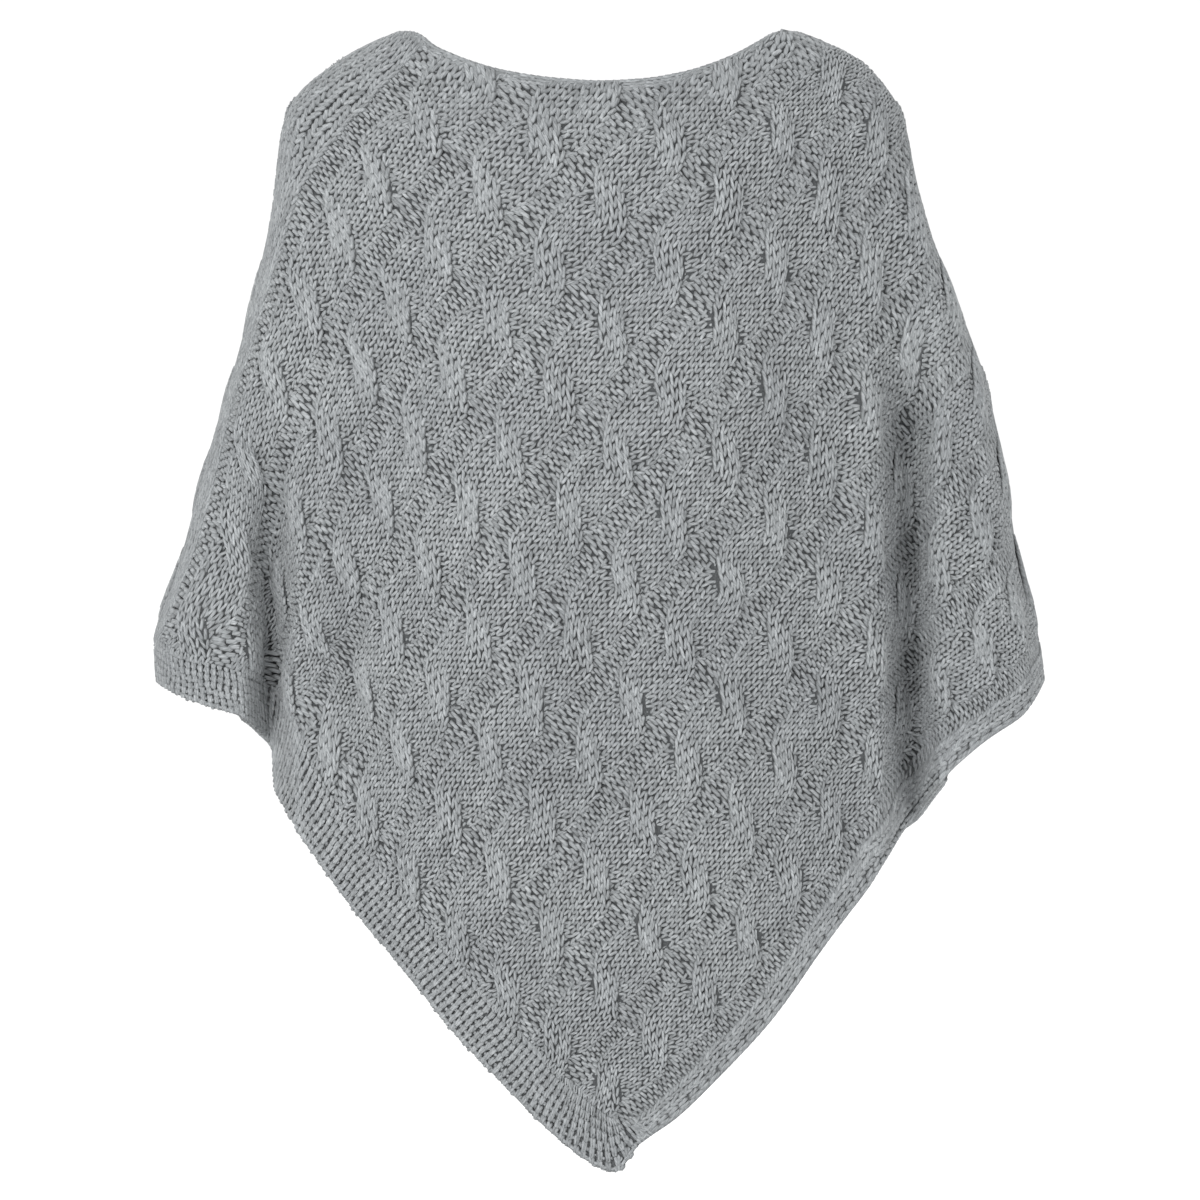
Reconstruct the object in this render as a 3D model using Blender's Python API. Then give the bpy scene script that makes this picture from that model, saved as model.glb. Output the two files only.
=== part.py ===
"""Knitted poncho sweater, filled out as it is worn over the shoulders.

Two square panels of cable knit are worn point down, one in front and one behind. They are joined from the
neck, over the shoulders and down the arms. Each panel has a ribbed cast-on band along one lower edge and a
band of plain stitches with a chained selvage along the other. A narrow rolled band goes round the neck.

Sizes are in millimetres here and are scaled to metres when the meshes are made. X runs to the wearer's left,
the front faces -Y and Z is up. The origin is in the middle of the neck opening, level with the shoulder tops.
"""

import bpy
import bmesh
import numpy as np

MM = 0.001

PANEL_WALL = 4.0  # thick cable knit
RIB_WALL = 4.4
PLAIN_WALL = 3.8
NECK_WALL = 5.0  # the neck edge is rolled over once
NECK_BAND = 8.6  # width of the rolled neck edge
RIB_BAND = 32.0
PLAIN_BAND = 24.0
GAP = 0.36  # between neighbouring pieces
BACK_LIFT = 10.0  # the back hem hangs this much higher than the front hem
PANEL_ROWS = 19
BAND_ROWS = 2

# The side seams, from the neck to the tip of the sleeve corner.
LEFT_SEAM = [
    # x, z
    (-144.0, 4.3),
    (-173.5, -8.6),
    (-200.2, -25.9),
    (-218.9, -43.2),
    (-227.6, -60.5),
    (-233.3, -103.7),
    (-240.5, -146.9),
    (-262.1, -233.3),
    (-287.3, -319.7),
    (-312.5, -406.1),
    (-321.8, -433.4),
    (-320.4, -463.7),
]
RIGHT_SEAM = [
    (141.8, 4.3),
    (172.8, -8.6),
    (197.3, -25.9),
    (211.0, -43.2),
    (219.0, -60.5),
    (227.5, -103.7),
    (240.5, -146.9),
    (272.9, -233.3),
    (293.0, -319.7),
    (308.2, -406.1),
    (316.8, -434.9),
    (320.9, -463.4),
]
HEM_BAND_ON_SEAM = 1  # how many rows, from the end, a seam spends beside the hem band

# The neck edge. The station runs from 0 at the left seam to 1 at the right seam.
NECK = [
    # station, x, z
    (0.00, -144.0, 4.3),
    (0.05, -135.5, 3.8),
    (0.10, -128.5, 0.2),
    (0.15, -119.5, -8.0),
    (0.20, -107.5, -14.2),
    (0.28, -87.5, -22.3),
    (0.36, -68.0, -28.0),
    (0.46, -33.0, -33.8),
    (0.56, 0.0, -36.0),
    (0.65, 30.5, -34.4),
    (0.74, 60.5, -28.8),
    (0.80, 82.0, -21.6),
    (0.86, 101.5, -12.5),
    (0.91, 115.5, -4.0),
    (0.955, 127.5, 3.2),
    (1.00, 141.8, 4.3),
]

# The front hem: its outer edge, and the inner edge of the band along it. The left band is ribbed and the
# right band is plain, and they meet at station TIP, where the ribbed band's end faces the wearer's left.
TIP = 0.56
FRONT_HEM = [
    # station, outer x, outer z, inner x, inner z
    (0.00, -320.4, -463.7, -321.8, -433.4),
    (0.04, -303.4, -472.6, -304.4, -444.9),
    (0.08, -285.0, -479.5, -286.0, -451.0),
    (0.12, -265.0, -485.0, -266.5, -455.6),
    (0.16, -248.0, -492.0, -250.5, -460.5),
    (0.20, -235.2, -511.0, -235.5, -468.5),
    (0.24, -233.3, -538.0, -220.0, -487.5),
    (0.27, -224.8, -556.0, -207.5, -515.0),
    (0.30, -209.5, -578.0, -190.5, -547.5),
    (0.34, -176.3, -623.9, -153.5, -600.0),
    (0.39, -140.9, -665.4, -118.4, -642.8),
    (0.44, -105.6, -708.9, -82.4, -686.4),
    (0.48, -70.4, -744.8, -47.9, -722.2),
    (0.515, -35.2, -780.0, -20.5, -749.0),
    (0.535, -5.0, -803.0, -2.5, -761.5),
    (0.548, 10.6, -808.9, 5.5, -767.5),
    (0.56, 27.0, -789.6, 12.7, -771.5),
    (0.60, 52.8, -771.5, 37.3, -753.9),
    (0.64, 88.0, -738.4, 71.8, -722.2),
    (0.68, 123.3, -701.2, 106.3, -686.4),
    (0.72, 158.5, -652.7, 142.5, -636.0),
    (0.76, 187.0, -615.0, 179.5, -586.0),
    (0.80, 206.0, -589.5, 202.0, -549.5),
    (0.84, 219.8, -568.5, 219.0, -525.0),
    (0.88, 239.0, -538.0, 242.0, -501.5),
    (0.92, 272.0, -507.5, 268.5, -482.5),
    (0.96, 304.8, -485.4, 294.0, -463.4),
    (1.00, 320.9, -463.4, 316.8, -434.9),
]
# The back point, where the ribbed band is on the other side and reaches over the plain band's end.
BACK_POINT = [
    # station, outer x, outer z, inner x, inner z
    (0.48, -70.4, -744.8, -53.5, -727.8),
    (0.52, -42.0, -773.0, -24.5, -756.5),
    (0.56, -18.0, -793.0, -0.5, -775.0),
    (0.574, 10.6, -808.9, 8.0, -769.0),
    (0.588, 27.5, -789.6, 15.0, -763.5),
    (0.61, 52.8, -771.5, 32.0, -748.0),
]

# Lines down the front that the columns of the cloth follow, each from the neck band to the hem band.
GUIDE_STATIONS = (0.20, 0.36, 0.56, 0.84)
GUIDES = [
    # down, arm hollow x, z, soft fold x, z, middle x, z, right arm hollow x, z
    (0.00, -111.0, -22.0, -70.0, -36.5, 0.0, -44.6, 99.0, -22.0),
    (0.10, -144.0, -48.5, -101.0, -73.0, 1.4, -103.0, 143.0, -44.0),
    (0.20, -181.0, -97.0, -132.0, -133.0, 2.8, -181.2, 180.0, -92.0),
    (0.35, -216.3, -174.9, -158.9, -222.4, 4.9, -293.8, 208.9, -170.9),
    (0.55, -230.0, -277.9, -169.5, -335.4, 8.4, -448.2, 220.0, -281.1),
    (0.78, -235.9, -398.9, -168.1, -469.6, 11.3, -603.0, 225.2, -413.2),
    (1.00, -235.5, -468.5, -137.0, -620.0, 12.7, -771.5, 219.0, -525.0),
]

# How far the cloth stands out from the seams' plane. At the seams it rounds over tightly for part of its depth,
# and then eases out over a wider stretch.
DEPTHS = [
    # z, sleeve front, chest, sleeve back, back, tight width, tight share, wide width
    (40.0, 42.0, 52.0, 42.0, 52.0, 20.0, 0.34, 110.0),
    (-36.0, 48.0, 67.0, 48.0, 72.0, 20.0, 0.36, 104.0),
    (-80.0, 52.0, 92.0, 52.0, 95.0, 20.0, 0.42, 96.0),
    (-140.0, 55.0, 112.0, 55.0, 111.0, 20.0, 0.50, 88.0),
    (-220.0, 58.0, 125.0, 58.0, 117.0, 20.0, 0.55, 80.0),
    (-320.0, 62.0, 128.0, 61.0, 113.0, 20.0, 0.57, 76.0),
    (-450.0, 65.0, 122.0, 63.0, 108.0, 20.0, 0.57, 72.0),
    (-600.0, 67.0, 115.0, 65.0, 105.0, 20.0, 0.57, 70.0),
    (-830.0, 69.0, 108.0, 67.0, 103.0, 20.0, 0.57, 70.0),
]
SLEEVE_EDGE = 232.0  # sideways distance where the body starts to stand out from the sleeve
BODY_FULL = 30.0  # and where it stands out fully

# Folds: hollows run down between the body and each arm, with a few softer ones beside them.
FRONT_FOLDS = [
    # top z, top x, middle x, end z, end x, fade in, fade out, depth, half width
    (-225.0, -229.0, -235.0, -640.0, -232.0, 190.0, 1.0, 31.0, 20.0),
    (-330.0, -185.0, -172.0, -610.0, -150.0, 110.0, 120.0, 8.0, 17.0),
    (-95.0, 209.0, 220.0, -660.0, 218.0, 260.0, 1.0, 29.0, 25.0),
    (-420.0, -92.0, -94.0, -640.0, -88.0, 110.0, 110.0, 3.5, 24.0),
]
BACK_FOLDS = [
    (-170.0, -222.0, -232.0, -640.0, -230.0, 230.0, 1.0, 27.0, 24.0),
    (-140.0, 212.0, 222.0, -660.0, 220.0, 250.0, 1.0, 29.0, 23.0),
    (-300.0, -118.0, -104.0, -700.0, -86.0, 170.0, 160.0, 9.0, 26.0),
    (-260.0, 70.0, 96.0, -690.0, 116.0, 190.0, 150.0, 7.0, 24.0),
    (-380.0, -20.0, -6.0, -720.0, 4.0, 150.0, 150.0, 5.0, 22.0),
]

# Columns of the cloth: stretches between stations. An eased stretch starts or ends tight, where it rounds over.
LEFT_COLUMNS = [
    # to station, steps, ease
    (0.12, 6, "in"),
    (0.15, 1, ""),
    (0.25, 9, ""),
    (0.30, 2, ""),
    (0.42, 4, ""),
]
FRONT_POINT_COLUMNS = [(0.515, 3, ""), (0.535, 1, ""), (0.548, 1, ""), (0.56, 1, ""), (0.60, 1, "")]
BACK_POINT_COLUMNS = [(0.52, 3, ""), (0.56, 1, ""), (0.574, 1, ""), (0.588, 1, ""), (0.61, 1, "")]
RIGHT_COLUMNS = [
    (0.78, 4, ""),
    (0.90, 8, ""),
    (1.00, 6, "out"),
]


def slopes(t, p):
    """The slope of a natural cubic spline through the points p at the stations t, at each station."""
    t, p = np.asarray(t, float), np.asarray(p, float)
    n = len(t)
    h = np.diff(t)
    a = np.zeros((n, n))
    b = np.zeros((n,) + p.shape[1:])
    a[0, 0], a[0, 1] = 2, 1
    b[0] = 3 * (p[1] - p[0]) / h[0]
    a[-1, -1], a[-1, -2] = 2, 1
    b[-1] = 3 * (p[-1] - p[-2]) / h[-1]
    for i in range(1, n - 1):
        a[i, i - 1], a[i, i], a[i, i + 1] = 1 / h[i - 1], 2 * (1 / h[i - 1] + 1 / h[i]), 1 / h[i]
        b[i] = 3 * ((p[i] - p[i - 1]) / h[i - 1] ** 2 + (p[i + 1] - p[i]) / h[i] ** 2)
    return np.linalg.solve(a, b.reshape(n, -1)).reshape(b.shape)


def spline(t, p, x):
    """The natural cubic spline through the points p at the stations t, read at x."""
    t, p, x = np.asarray(t, float), np.asarray(p, float), np.atleast_1d(np.asarray(x, float))
    m = slopes(t, p)
    k = np.clip(np.searchsorted(t, x, side="right") - 1, 0, len(t) - 2)
    h = (t[k + 1] - t[k]).reshape(-1, *[1] * (p.ndim - 1))
    u = (x - t[k]).reshape(h.shape) / h
    return (
        (1 + 2 * u) * (1 - u) ** 2 * p[k]
        + u * (1 - u) ** 2 * h * m[k]
        + u * u * (3 - 2 * u) * p[k + 1]
        + u * u * (u - 1) * h * m[k + 1]
    )


def gentle(t, p, x):
    """A curve through the points p that never swings past them, read at x."""
    t, p, x = np.asarray(t, float), np.asarray(p, float), np.atleast_1d(np.asarray(x, float))
    h = np.diff(t).reshape(-1, *[1] * (p.ndim - 1))
    d = np.diff(p, axis=0) / h
    m = np.zeros_like(p)
    same = d[:-1] * d[1:] > 0
    mid = np.where(same, 2 * d[:-1] * d[1:] / np.where(same, d[:-1] + d[1:], 1), 0)
    m[1:-1], m[0], m[-1] = mid, d[0], d[-1]
    k = np.clip(np.searchsorted(t, x, side="right") - 1, 0, len(t) - 2)
    hk = h[k]
    u = (x - t[k]).reshape(hk.shape) / hk
    return (
        (1 + 2 * u) * (1 - u) ** 2 * p[k]
        + u * (1 - u) ** 2 * hk * m[k]
        + u * u * (3 - 2 * u) * p[k + 1]
        + u * u * (u - 1) * hk * m[k + 1]
    )


def smooth(x):
    x = np.clip(x, 0, 1)
    return x * x * x * (x * (6 * x - 15) + 10)


def stations(back):
    """The columns' stations from one seam to the other."""
    found, start = [0.0], 0.0
    for end, steps, ease in LEFT_COLUMNS + (BACK_POINT_COLUMNS if back else FRONT_POINT_COLUMNS) + RIGHT_COLUMNS:
        for i in range(1, steps + 1):
            u = i / steps
            if ease == "in":
                u = u * u
            elif ease == "out":
                u = 1 - (1 - u) ** 2
            found.append(start + (end - start) * u)
        start = end
    return np.array(found)


def along(seam, share):
    """Points on a seam at the given shares of its length, from the neck band's edge to the hem band's."""
    pts = np.array(seam)
    run = np.concatenate([[0], np.cumsum(np.linalg.norm(np.diff(pts, axis=0), axis=1))])
    end = run[-1 - HEM_BAND_ON_SEAM]
    return spline(run, pts, NECK_BAND + (end - NECK_BAND) * np.asarray(share))


def hem_table(back):
    """The hem's outer and inner edges. The back's bands are the other way round, and its hem is a little higher."""
    if not back:
        return np.array(FRONT_HEM)
    first, last = BACK_POINT[0][0], BACK_POINT[-1][0]
    rows = []
    for a, ox, oz, ix, iz in FRONT_HEM:
        if a < first or a > last:
            wide = (RIB_BAND / PLAIN_BAND) if a > TIP else (PLAIN_BAND / RIB_BAND)
            wide = 1 + (wide - 1) * smooth(min(a, 1 - a) / 0.04)
            rows.append((a, ox, oz, ox + (ix - ox) * wide, oz + (iz - oz) * wide))
    rows = np.array(sorted(rows + BACK_POINT))
    rows[:, [2, 4]] += (BACK_LIFT * smooth(np.minimum(rows[:, 0], 1 - rows[:, 0]) / 0.06))[:, None]
    return rows


def outline(back, a):
    """The neck's and the hem's edges, outer and inner, at the stations a."""
    neck = np.array(NECK)
    edge = gentle(neck[:, 0], neck[:, 1:], a)
    way = np.gradient(edge, a, axis=0)
    way /= np.linalg.norm(way, axis=1)[:, None]
    down = np.stack([way[:, 1], -way[:, 0]], 1)
    first, last = along(LEFT_SEAM, [0.0])[0] - edge[0], along(RIGHT_SEAM, [0.0])[0] - edge[-1]
    left, right = smooth(1 - a / 0.14)[:, None], smooth(1 - (1 - a) / 0.14)[:, None]
    step = NECK_BAND * down * (1 - left) * (1 - right) + first * left + last * right
    step *= (NECK_BAND / np.linalg.norm(step, axis=1))[:, None]
    step[0], step[-1] = first, last
    hem = hem_table(back)
    points = gentle(hem[:, 0], hem[:, 1:], a)
    return edge, edge + step, points[:, :2], points[:, 2:]


def flat_grid(back, a, down):
    """Where each point of the panel is in the front view: one row for each share of the way down."""
    _, top, _, bottom = outline(back, a)
    table = np.array(GUIDES)
    guides = spline(table[:, 0], table[:, 1:], down).reshape(len(down), -1, 2)
    left, right = along(LEFT_SEAM, down), along(RIGHT_SEAM, down)
    knots = np.array([0.0, *GUIDE_STATIONS, 1.0])
    rows = np.stack([spline(knots, np.vstack([l, g, r]), a) for l, g, r in zip(left, guides, right)])
    share = np.asarray(down)[:, None, None]
    rows = rows + (1 - share) ** 4 * (top - rows[0]) + share**4 * (bottom - rows[-1])
    rows[:, 0], rows[:, -1] = left, right
    rows[-1], rows[0] = bottom, top
    return rows


def fold_depth(folds, x, z):
    total = np.zeros_like(x)
    for top_z, top_x, mid_x, end_z, end_x, fade_in, fade_out, depth, half in folds:
        u = (top_z - z) / (top_z - end_z)
        w = np.clip(u, 0, 1)
        line = top_x * (1 - w) * (1 - 2 * w) + 4 * mid_x * w * (1 - w) + end_x * w * (2 * w - 1)
        into = smooth((top_z - z) / fade_in) * smooth((z - end_z) / fade_out)
        wide = half * (1.5 - 0.5 * smooth((top_z - z) / fade_in))
        across = np.clip(np.abs(x - line) / wide, 0, 1)
        total += depth * into * np.cos(0.5 * np.pi * across) ** 2
    return total


def stand_out(back, points, seam_way):
    """How far each point of a grid stands out in front of, or behind, the plane of the seams.

    seam_way holds, for each row, the seams' directions at its two ends.
    """
    x, z = points[..., 0], points[..., 1]
    table = np.array(DEPTHS)[::-1]
    shape = z.shape
    sleeve, body, tight, share, wide = (
        gentle(table[:, 0], table[:, c], z.ravel()).reshape(shape)
        for c in ((3, 4, 5, 6, 7) if back else (1, 2, 5, 6, 7))
    )
    inward = smooth((SLEEVE_EDGE - np.abs(x)) / (SLEEVE_EDGE - BODY_FULL))
    out = sleeve + (body - sleeve) * inward
    out = out - fold_depth(BACK_FOLDS if back else FRONT_FOLDS, x, z)
    for end, way in ((0, seam_way[0]), (-1, seam_way[1])):
        off = points - points[:, end : (end + 1) or None]
        side = np.abs(off[..., 0] * way[:, None, 1] - off[..., 1] * way[:, None, 0])
        near, far = np.clip(side / tight, 0, 1), np.clip(side / wide, 0, 1)
        out = out * (share * np.sqrt(1 - (1 - near) ** 2) + (1 - share) * far * (2 - far))
    return out


def unit(v):
    return v / np.maximum(np.linalg.norm(v, axis=-1, keepdims=True), 1e-9)


def cloth(back, a, rows):
    """The outer face's points and outward directions for a grid of front-view points, rows from the neck down."""
    step = np.gradient(rows, axis=0)
    ways = (unit(step[:, 0]), unit(step[:, -1]))
    out = stand_out(back, rows, ways)
    sign = 1.0 if back else -1.0
    points = np.stack([rows[..., 0], sign * (GAP / 2 + out), rows[..., 1]], -1)
    across = np.gradient(points, axis=1)
    across[:, 0] = (0, sign, 0)
    across[:, -1] = (0, -sign, 0)
    downward = np.gradient(points, axis=0)
    downward[:, 0, 1] = downward[:, -1, 1] = 0
    normal = unit(np.cross(across, downward))
    facing = np.sign((normal[:, len(a) // 2, 1] * sign).mean())
    return points, normal * facing


def solid(name, outer, inner, colour, roughness):
    """One closed wall between two matching grids of points, with flat strips round its edge."""
    rows, cols = outer.shape[:2]
    bm = bmesh.new()
    grids = [[[bm.verts.new(p * MM) for p in row] for row in grid] for grid in (outer, inner)]
    up, low = grids
    for j in range(rows - 1):
        for i in range(cols - 1):
            bm.faces.new((up[j][i], up[j + 1][i], up[j + 1][i + 1], up[j][i + 1]))
            bm.faces.new((low[j][i], low[j][i + 1], low[j + 1][i + 1], low[j + 1][i]))
    # Each strip is parted from its outer corner nearer the first row and column, so that neighbours' strips match.
    for j in (0, rows - 1):
        for i in range(cols - 1):
            ends = (up[j][i], low[j][i + 1])
            bm.faces.new((*ends, up[j][i + 1]) if j == 0 else (*ends[::-1], up[j][i + 1]))
            bm.faces.new((*ends[::-1], low[j][i]) if j == 0 else (*ends, low[j][i]))
    for i in (0, cols - 1):
        for j in range(rows - 1):
            ends = (up[j][i], low[j + 1][i])
            bm.faces.new((*ends[::-1], up[j + 1][i]) if i == 0 else (*ends, up[j + 1][i]))
            bm.faces.new((*ends, low[j][i]) if i == 0 else (*ends[::-1], low[j][i]))
    bmesh.ops.triangulate(bm, faces=[f for f in bm.faces if len(f.verts) == 4], quad_method="SHORT_EDGE")
    bmesh.ops.recalc_face_normals(bm, faces=bm.faces[:])
    if bm.calc_volume(signed=True) < 0:
        bmesh.ops.reverse_faces(bm, faces=bm.faces[:])
    mesh = bpy.data.meshes.new(name)
    bm.to_mesh(mesh)
    bm.free()
    mesh.shade_smooth()
    mesh.set_sharp_from_angle(angle=1.0)
    material = bpy.data.materials.new(name + "_knit")
    material.use_nodes = True
    shader = material.node_tree.nodes["Principled BSDF"]
    shader.inputs["Base Color"].default_value = (*colour, 1.0)
    shader.inputs["Roughness"].default_value = roughness
    shader.inputs["Metallic"].default_value = 0.0
    mesh.materials.append(material)
    piece = bpy.data.objects.new(name, mesh)
    bpy.context.scene.collection.objects.link(piece)
    return piece


def between(outer_edge, inner_edge, shares):
    """Rows of points from one edge to the other."""
    return np.stack([outer_edge * (1 - s) + inner_edge * s for s in shares])


def make_side(back):
    """The panel, its neck band and its two hem bands, for the front or the back."""
    side = "back" if back else "front"
    a = stations(back)
    edge, top, hem, bottom = outline(back, a)
    down = np.linspace(0, 1, PANEL_ROWS + 1)
    panel = flat_grid(back, a, down)
    neck = between(edge, top, [0.0, 1.0])
    band = between(bottom, hem, np.linspace(0, 1, BAND_ROWS + 1))
    # The whole side is worked out as one sheet, so that its pieces line up, and then parted.
    sheet = np.concatenate([neck[:-1], panel, band[1:]])
    points, normal = cloth(back, a, sheet)
    n = len(neck) - 1
    m = n + PANEL_ROWS
    tip = int(np.argmin(np.abs(a - TIP)))
    split = slice(0, tip + 1), slice(tip, len(a))
    grey = (0.30, 0.32, 0.325)

    def piece(name, rows, cols, wall, gaps):
        p, q = points[rows, cols].copy(), normal[rows, cols]
        # Each edge that meets a neighbour is drawn back by half the gap, square to itself along the cloth.
        above, below, before, after = gaps
        start = p.copy()
        edges = (
            (above, (0, slice(None)), (1, slice(None))),
            (below, (-1, slice(None)), (-2, slice(None))),
            (before, (slice(None), 0), (slice(None), 1)),
            (after, (slice(None), -1), (slice(None), -2)),
        )
        for meets, edge_at, next_at in edges:
            if not meets:
                continue
            way = np.gradient(start[edge_at], axis=0)
            if edge_at[1] == slice(None) and cols == slice(0, len(a)):
                way[0] = way[-1] = (0, 1, 0)
            back_off = unit(np.cross(q[edge_at], way))
            inward = start[next_at] - start[edge_at]
            back_off *= np.sign((back_off * inward).sum(-1, keepdims=True))
            p[edge_at] += back_off * GAP / 2
        solid(name, p, p - q * wall, grey, 0.9)

    every = slice(0, len(a))
    piece(side + "_neck_band", slice(0, n + 1), every, NECK_WALL, (False, True, False, False))
    piece(side + "_panel", slice(n, m + 1), every, PANEL_WALL, (True, True, False, False))
    low = slice(m, len(sheet))
    first, second = ("plain_hem", "rib_hem") if back else ("rib_hem", "plain_hem")
    walls = {"rib_hem": RIB_WALL, "plain_hem": PLAIN_WALL}
    piece(f"{side}_{first}", low, split[0], walls[first], (True, False, False, True))
    piece(f"{side}_{second}", low, split[1], walls[second], (True, False, True, False))


def main():
    for old in list(bpy.data.objects):
        bpy.data.objects.remove(old, do_unlink=True)
    make_side(False)
    make_side(True)


main()
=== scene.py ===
"""Looks of the knitted poncho sweater: its stitches, cables, edges, drape and yarn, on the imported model's frame.

Lengths are in millimetres in the tables and functions, and in metres in the meshes. A knit position is counted in
stitches: X across the panel's course and Y up its wales. Every tenth X is the middle of a gutter of two purl wales,
with a cable of eight wales between two gutters, and the cables cross at every tenth Y.
"""

import math

import bpy
import numpy as np
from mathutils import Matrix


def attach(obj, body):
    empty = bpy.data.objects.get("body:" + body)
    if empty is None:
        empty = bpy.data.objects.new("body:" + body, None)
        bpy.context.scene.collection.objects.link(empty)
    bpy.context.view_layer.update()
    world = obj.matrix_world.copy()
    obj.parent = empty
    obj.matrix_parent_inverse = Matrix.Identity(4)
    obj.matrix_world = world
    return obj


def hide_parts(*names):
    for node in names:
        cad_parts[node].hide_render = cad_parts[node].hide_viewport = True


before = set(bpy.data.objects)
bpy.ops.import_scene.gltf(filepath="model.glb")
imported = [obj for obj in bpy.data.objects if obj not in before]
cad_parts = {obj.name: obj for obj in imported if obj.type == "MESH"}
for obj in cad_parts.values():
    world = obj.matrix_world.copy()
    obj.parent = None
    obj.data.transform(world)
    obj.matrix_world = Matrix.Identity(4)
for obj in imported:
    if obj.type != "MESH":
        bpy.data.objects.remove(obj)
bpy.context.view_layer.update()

MM = 0.001

# The camera stands level with the middle of the garment, well away from it.
VIEW_FIELD = 0.864  # metres across the picture, at the plane of the side seams
CAMERA_AWAY = 5.0
CAMERA_HEIGHT = -0.40608
camera_data = bpy.data.cameras.new("camera")
camera_data.sensor_width = 36.0
camera_data.lens = 36.0 * CAMERA_AWAY / VIEW_FIELD
camera = bpy.data.objects.new("camera", camera_data)
camera.location = (0.0, -CAMERA_AWAY, CAMERA_HEIGHT)
camera.rotation_euler = (math.pi / 2, 0.0, 0.0)
bpy.context.scene.collection.objects.link(camera)
bpy.context.scene.camera = camera

# ---------------------------------------------------------------------------------------------------------------
# The garment's form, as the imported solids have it.
# ---------------------------------------------------------------------------------------------------------------

PANEL_WALL = 4.0  # thick cable knit
RIB_WALL = 4.4
PLAIN_WALL = 3.8
NECK_WALL = 5.0  # the neck edge is rolled over once
NECK_BAND = 8.6  # width of the rolled neck edge
RIB_BAND = 32.0
PLAIN_BAND = 24.0
GAP = 0.36  # between neighbouring pieces
BACK_LIFT = 10.0  # the back hem hangs this much higher than the front hem
PANEL_ROWS = 19
BAND_ROWS = 2

# The side seams, from the neck to the tip of the sleeve corner.
LEFT_SEAM = [
    # x, z
    (-144.0, 4.3),
    (-173.5, -8.6),
    (-200.2, -25.9),
    (-218.9, -43.2),
    (-227.6, -60.5),
    (-233.3, -103.7),
    (-240.5, -146.9),
    (-262.1, -233.3),
    (-287.3, -319.7),
    (-312.5, -406.1),
    (-321.8, -433.4),
    (-320.4, -463.7),
]
RIGHT_SEAM = [
    (141.8, 4.3),
    (172.8, -8.6),
    (197.3, -25.9),
    (211.0, -43.2),
    (219.0, -60.5),
    (227.5, -103.7),
    (240.5, -146.9),
    (272.9, -233.3),
    (293.0, -319.7),
    (308.2, -406.1),
    (316.8, -434.9),
    (320.9, -463.4),
]
HEM_BAND_ON_SEAM = 1  # how many rows, from the end, a seam spends beside the hem band

# The neck edge. The station runs from 0 at the left seam to 1 at the right seam.
NECK = [
    # station, x, z
    (0.00, -144.0, 4.3),
    (0.05, -135.5, 3.8),
    (0.10, -128.5, 0.2),
    (0.15, -119.5, -8.0),
    (0.20, -107.5, -14.2),
    (0.28, -87.5, -22.3),
    (0.36, -68.0, -28.0),
    (0.46, -33.0, -33.8),
    (0.56, 0.0, -36.0),
    (0.65, 30.5, -34.4),
    (0.74, 60.5, -28.8),
    (0.80, 82.0, -21.6),
    (0.86, 101.5, -12.5),
    (0.91, 115.5, -4.0),
    (0.955, 127.5, 3.2),
    (1.00, 141.8, 4.3),
]

# The front hem: its outer edge, and the inner edge of the band along it. The left band is ribbed and the
# right band is plain, and they meet at station TIP, where the ribbed band's end faces the wearer's left.
TIP = 0.56
FRONT_HEM = [
    # station, outer x, outer z, inner x, inner z
    (0.00, -320.4, -463.7, -321.8, -433.4),
    (0.04, -303.4, -472.6, -304.4, -444.9),
    (0.08, -285.0, -479.5, -286.0, -451.0),
    (0.12, -265.0, -485.0, -266.5, -455.6),
    (0.16, -248.0, -492.0, -250.5, -460.5),
    (0.20, -235.2, -511.0, -235.5, -468.5),
    (0.24, -233.3, -538.0, -220.0, -487.5),
    (0.27, -224.8, -556.0, -207.5, -515.0),
    (0.30, -209.5, -578.0, -190.5, -547.5),
    (0.34, -176.3, -623.9, -153.5, -600.0),
    (0.39, -140.9, -665.4, -118.4, -642.8),
    (0.44, -105.6, -708.9, -82.4, -686.4),
    (0.48, -70.4, -744.8, -47.9, -722.2),
    (0.515, -35.2, -780.0, -20.5, -749.0),
    (0.535, -5.0, -803.0, -2.5, -761.5),
    (0.548, 10.6, -808.9, 5.5, -767.5),
    (0.56, 27.0, -789.6, 12.7, -771.5),
    (0.60, 52.8, -771.5, 37.3, -753.9),
    (0.64, 88.0, -738.4, 71.8, -722.2),
    (0.68, 123.3, -701.2, 106.3, -686.4),
    (0.72, 158.5, -652.7, 142.5, -636.0),
    (0.76, 187.0, -615.0, 179.5, -586.0),
    (0.80, 206.0, -589.5, 202.0, -549.5),
    (0.84, 219.8, -568.5, 219.0, -525.0),
    (0.88, 239.0, -538.0, 242.0, -501.5),
    (0.92, 272.0, -507.5, 268.5, -482.5),
    (0.96, 304.8, -485.4, 294.0, -463.4),
    (1.00, 320.9, -463.4, 316.8, -434.9),
]
# The back point, where the ribbed band is on the other side and reaches over the plain band's end.
BACK_POINT = [
    # station, outer x, outer z, inner x, inner z
    (0.48, -70.4, -744.8, -53.5, -727.8),
    (0.52, -42.0, -773.0, -24.5, -756.5),
    (0.56, -18.0, -793.0, -0.5, -775.0),
    (0.574, 10.6, -808.9, 8.0, -769.0),
    (0.588, 27.5, -789.6, 15.0, -763.5),
    (0.61, 52.8, -771.5, 32.0, -748.0),
]

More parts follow.
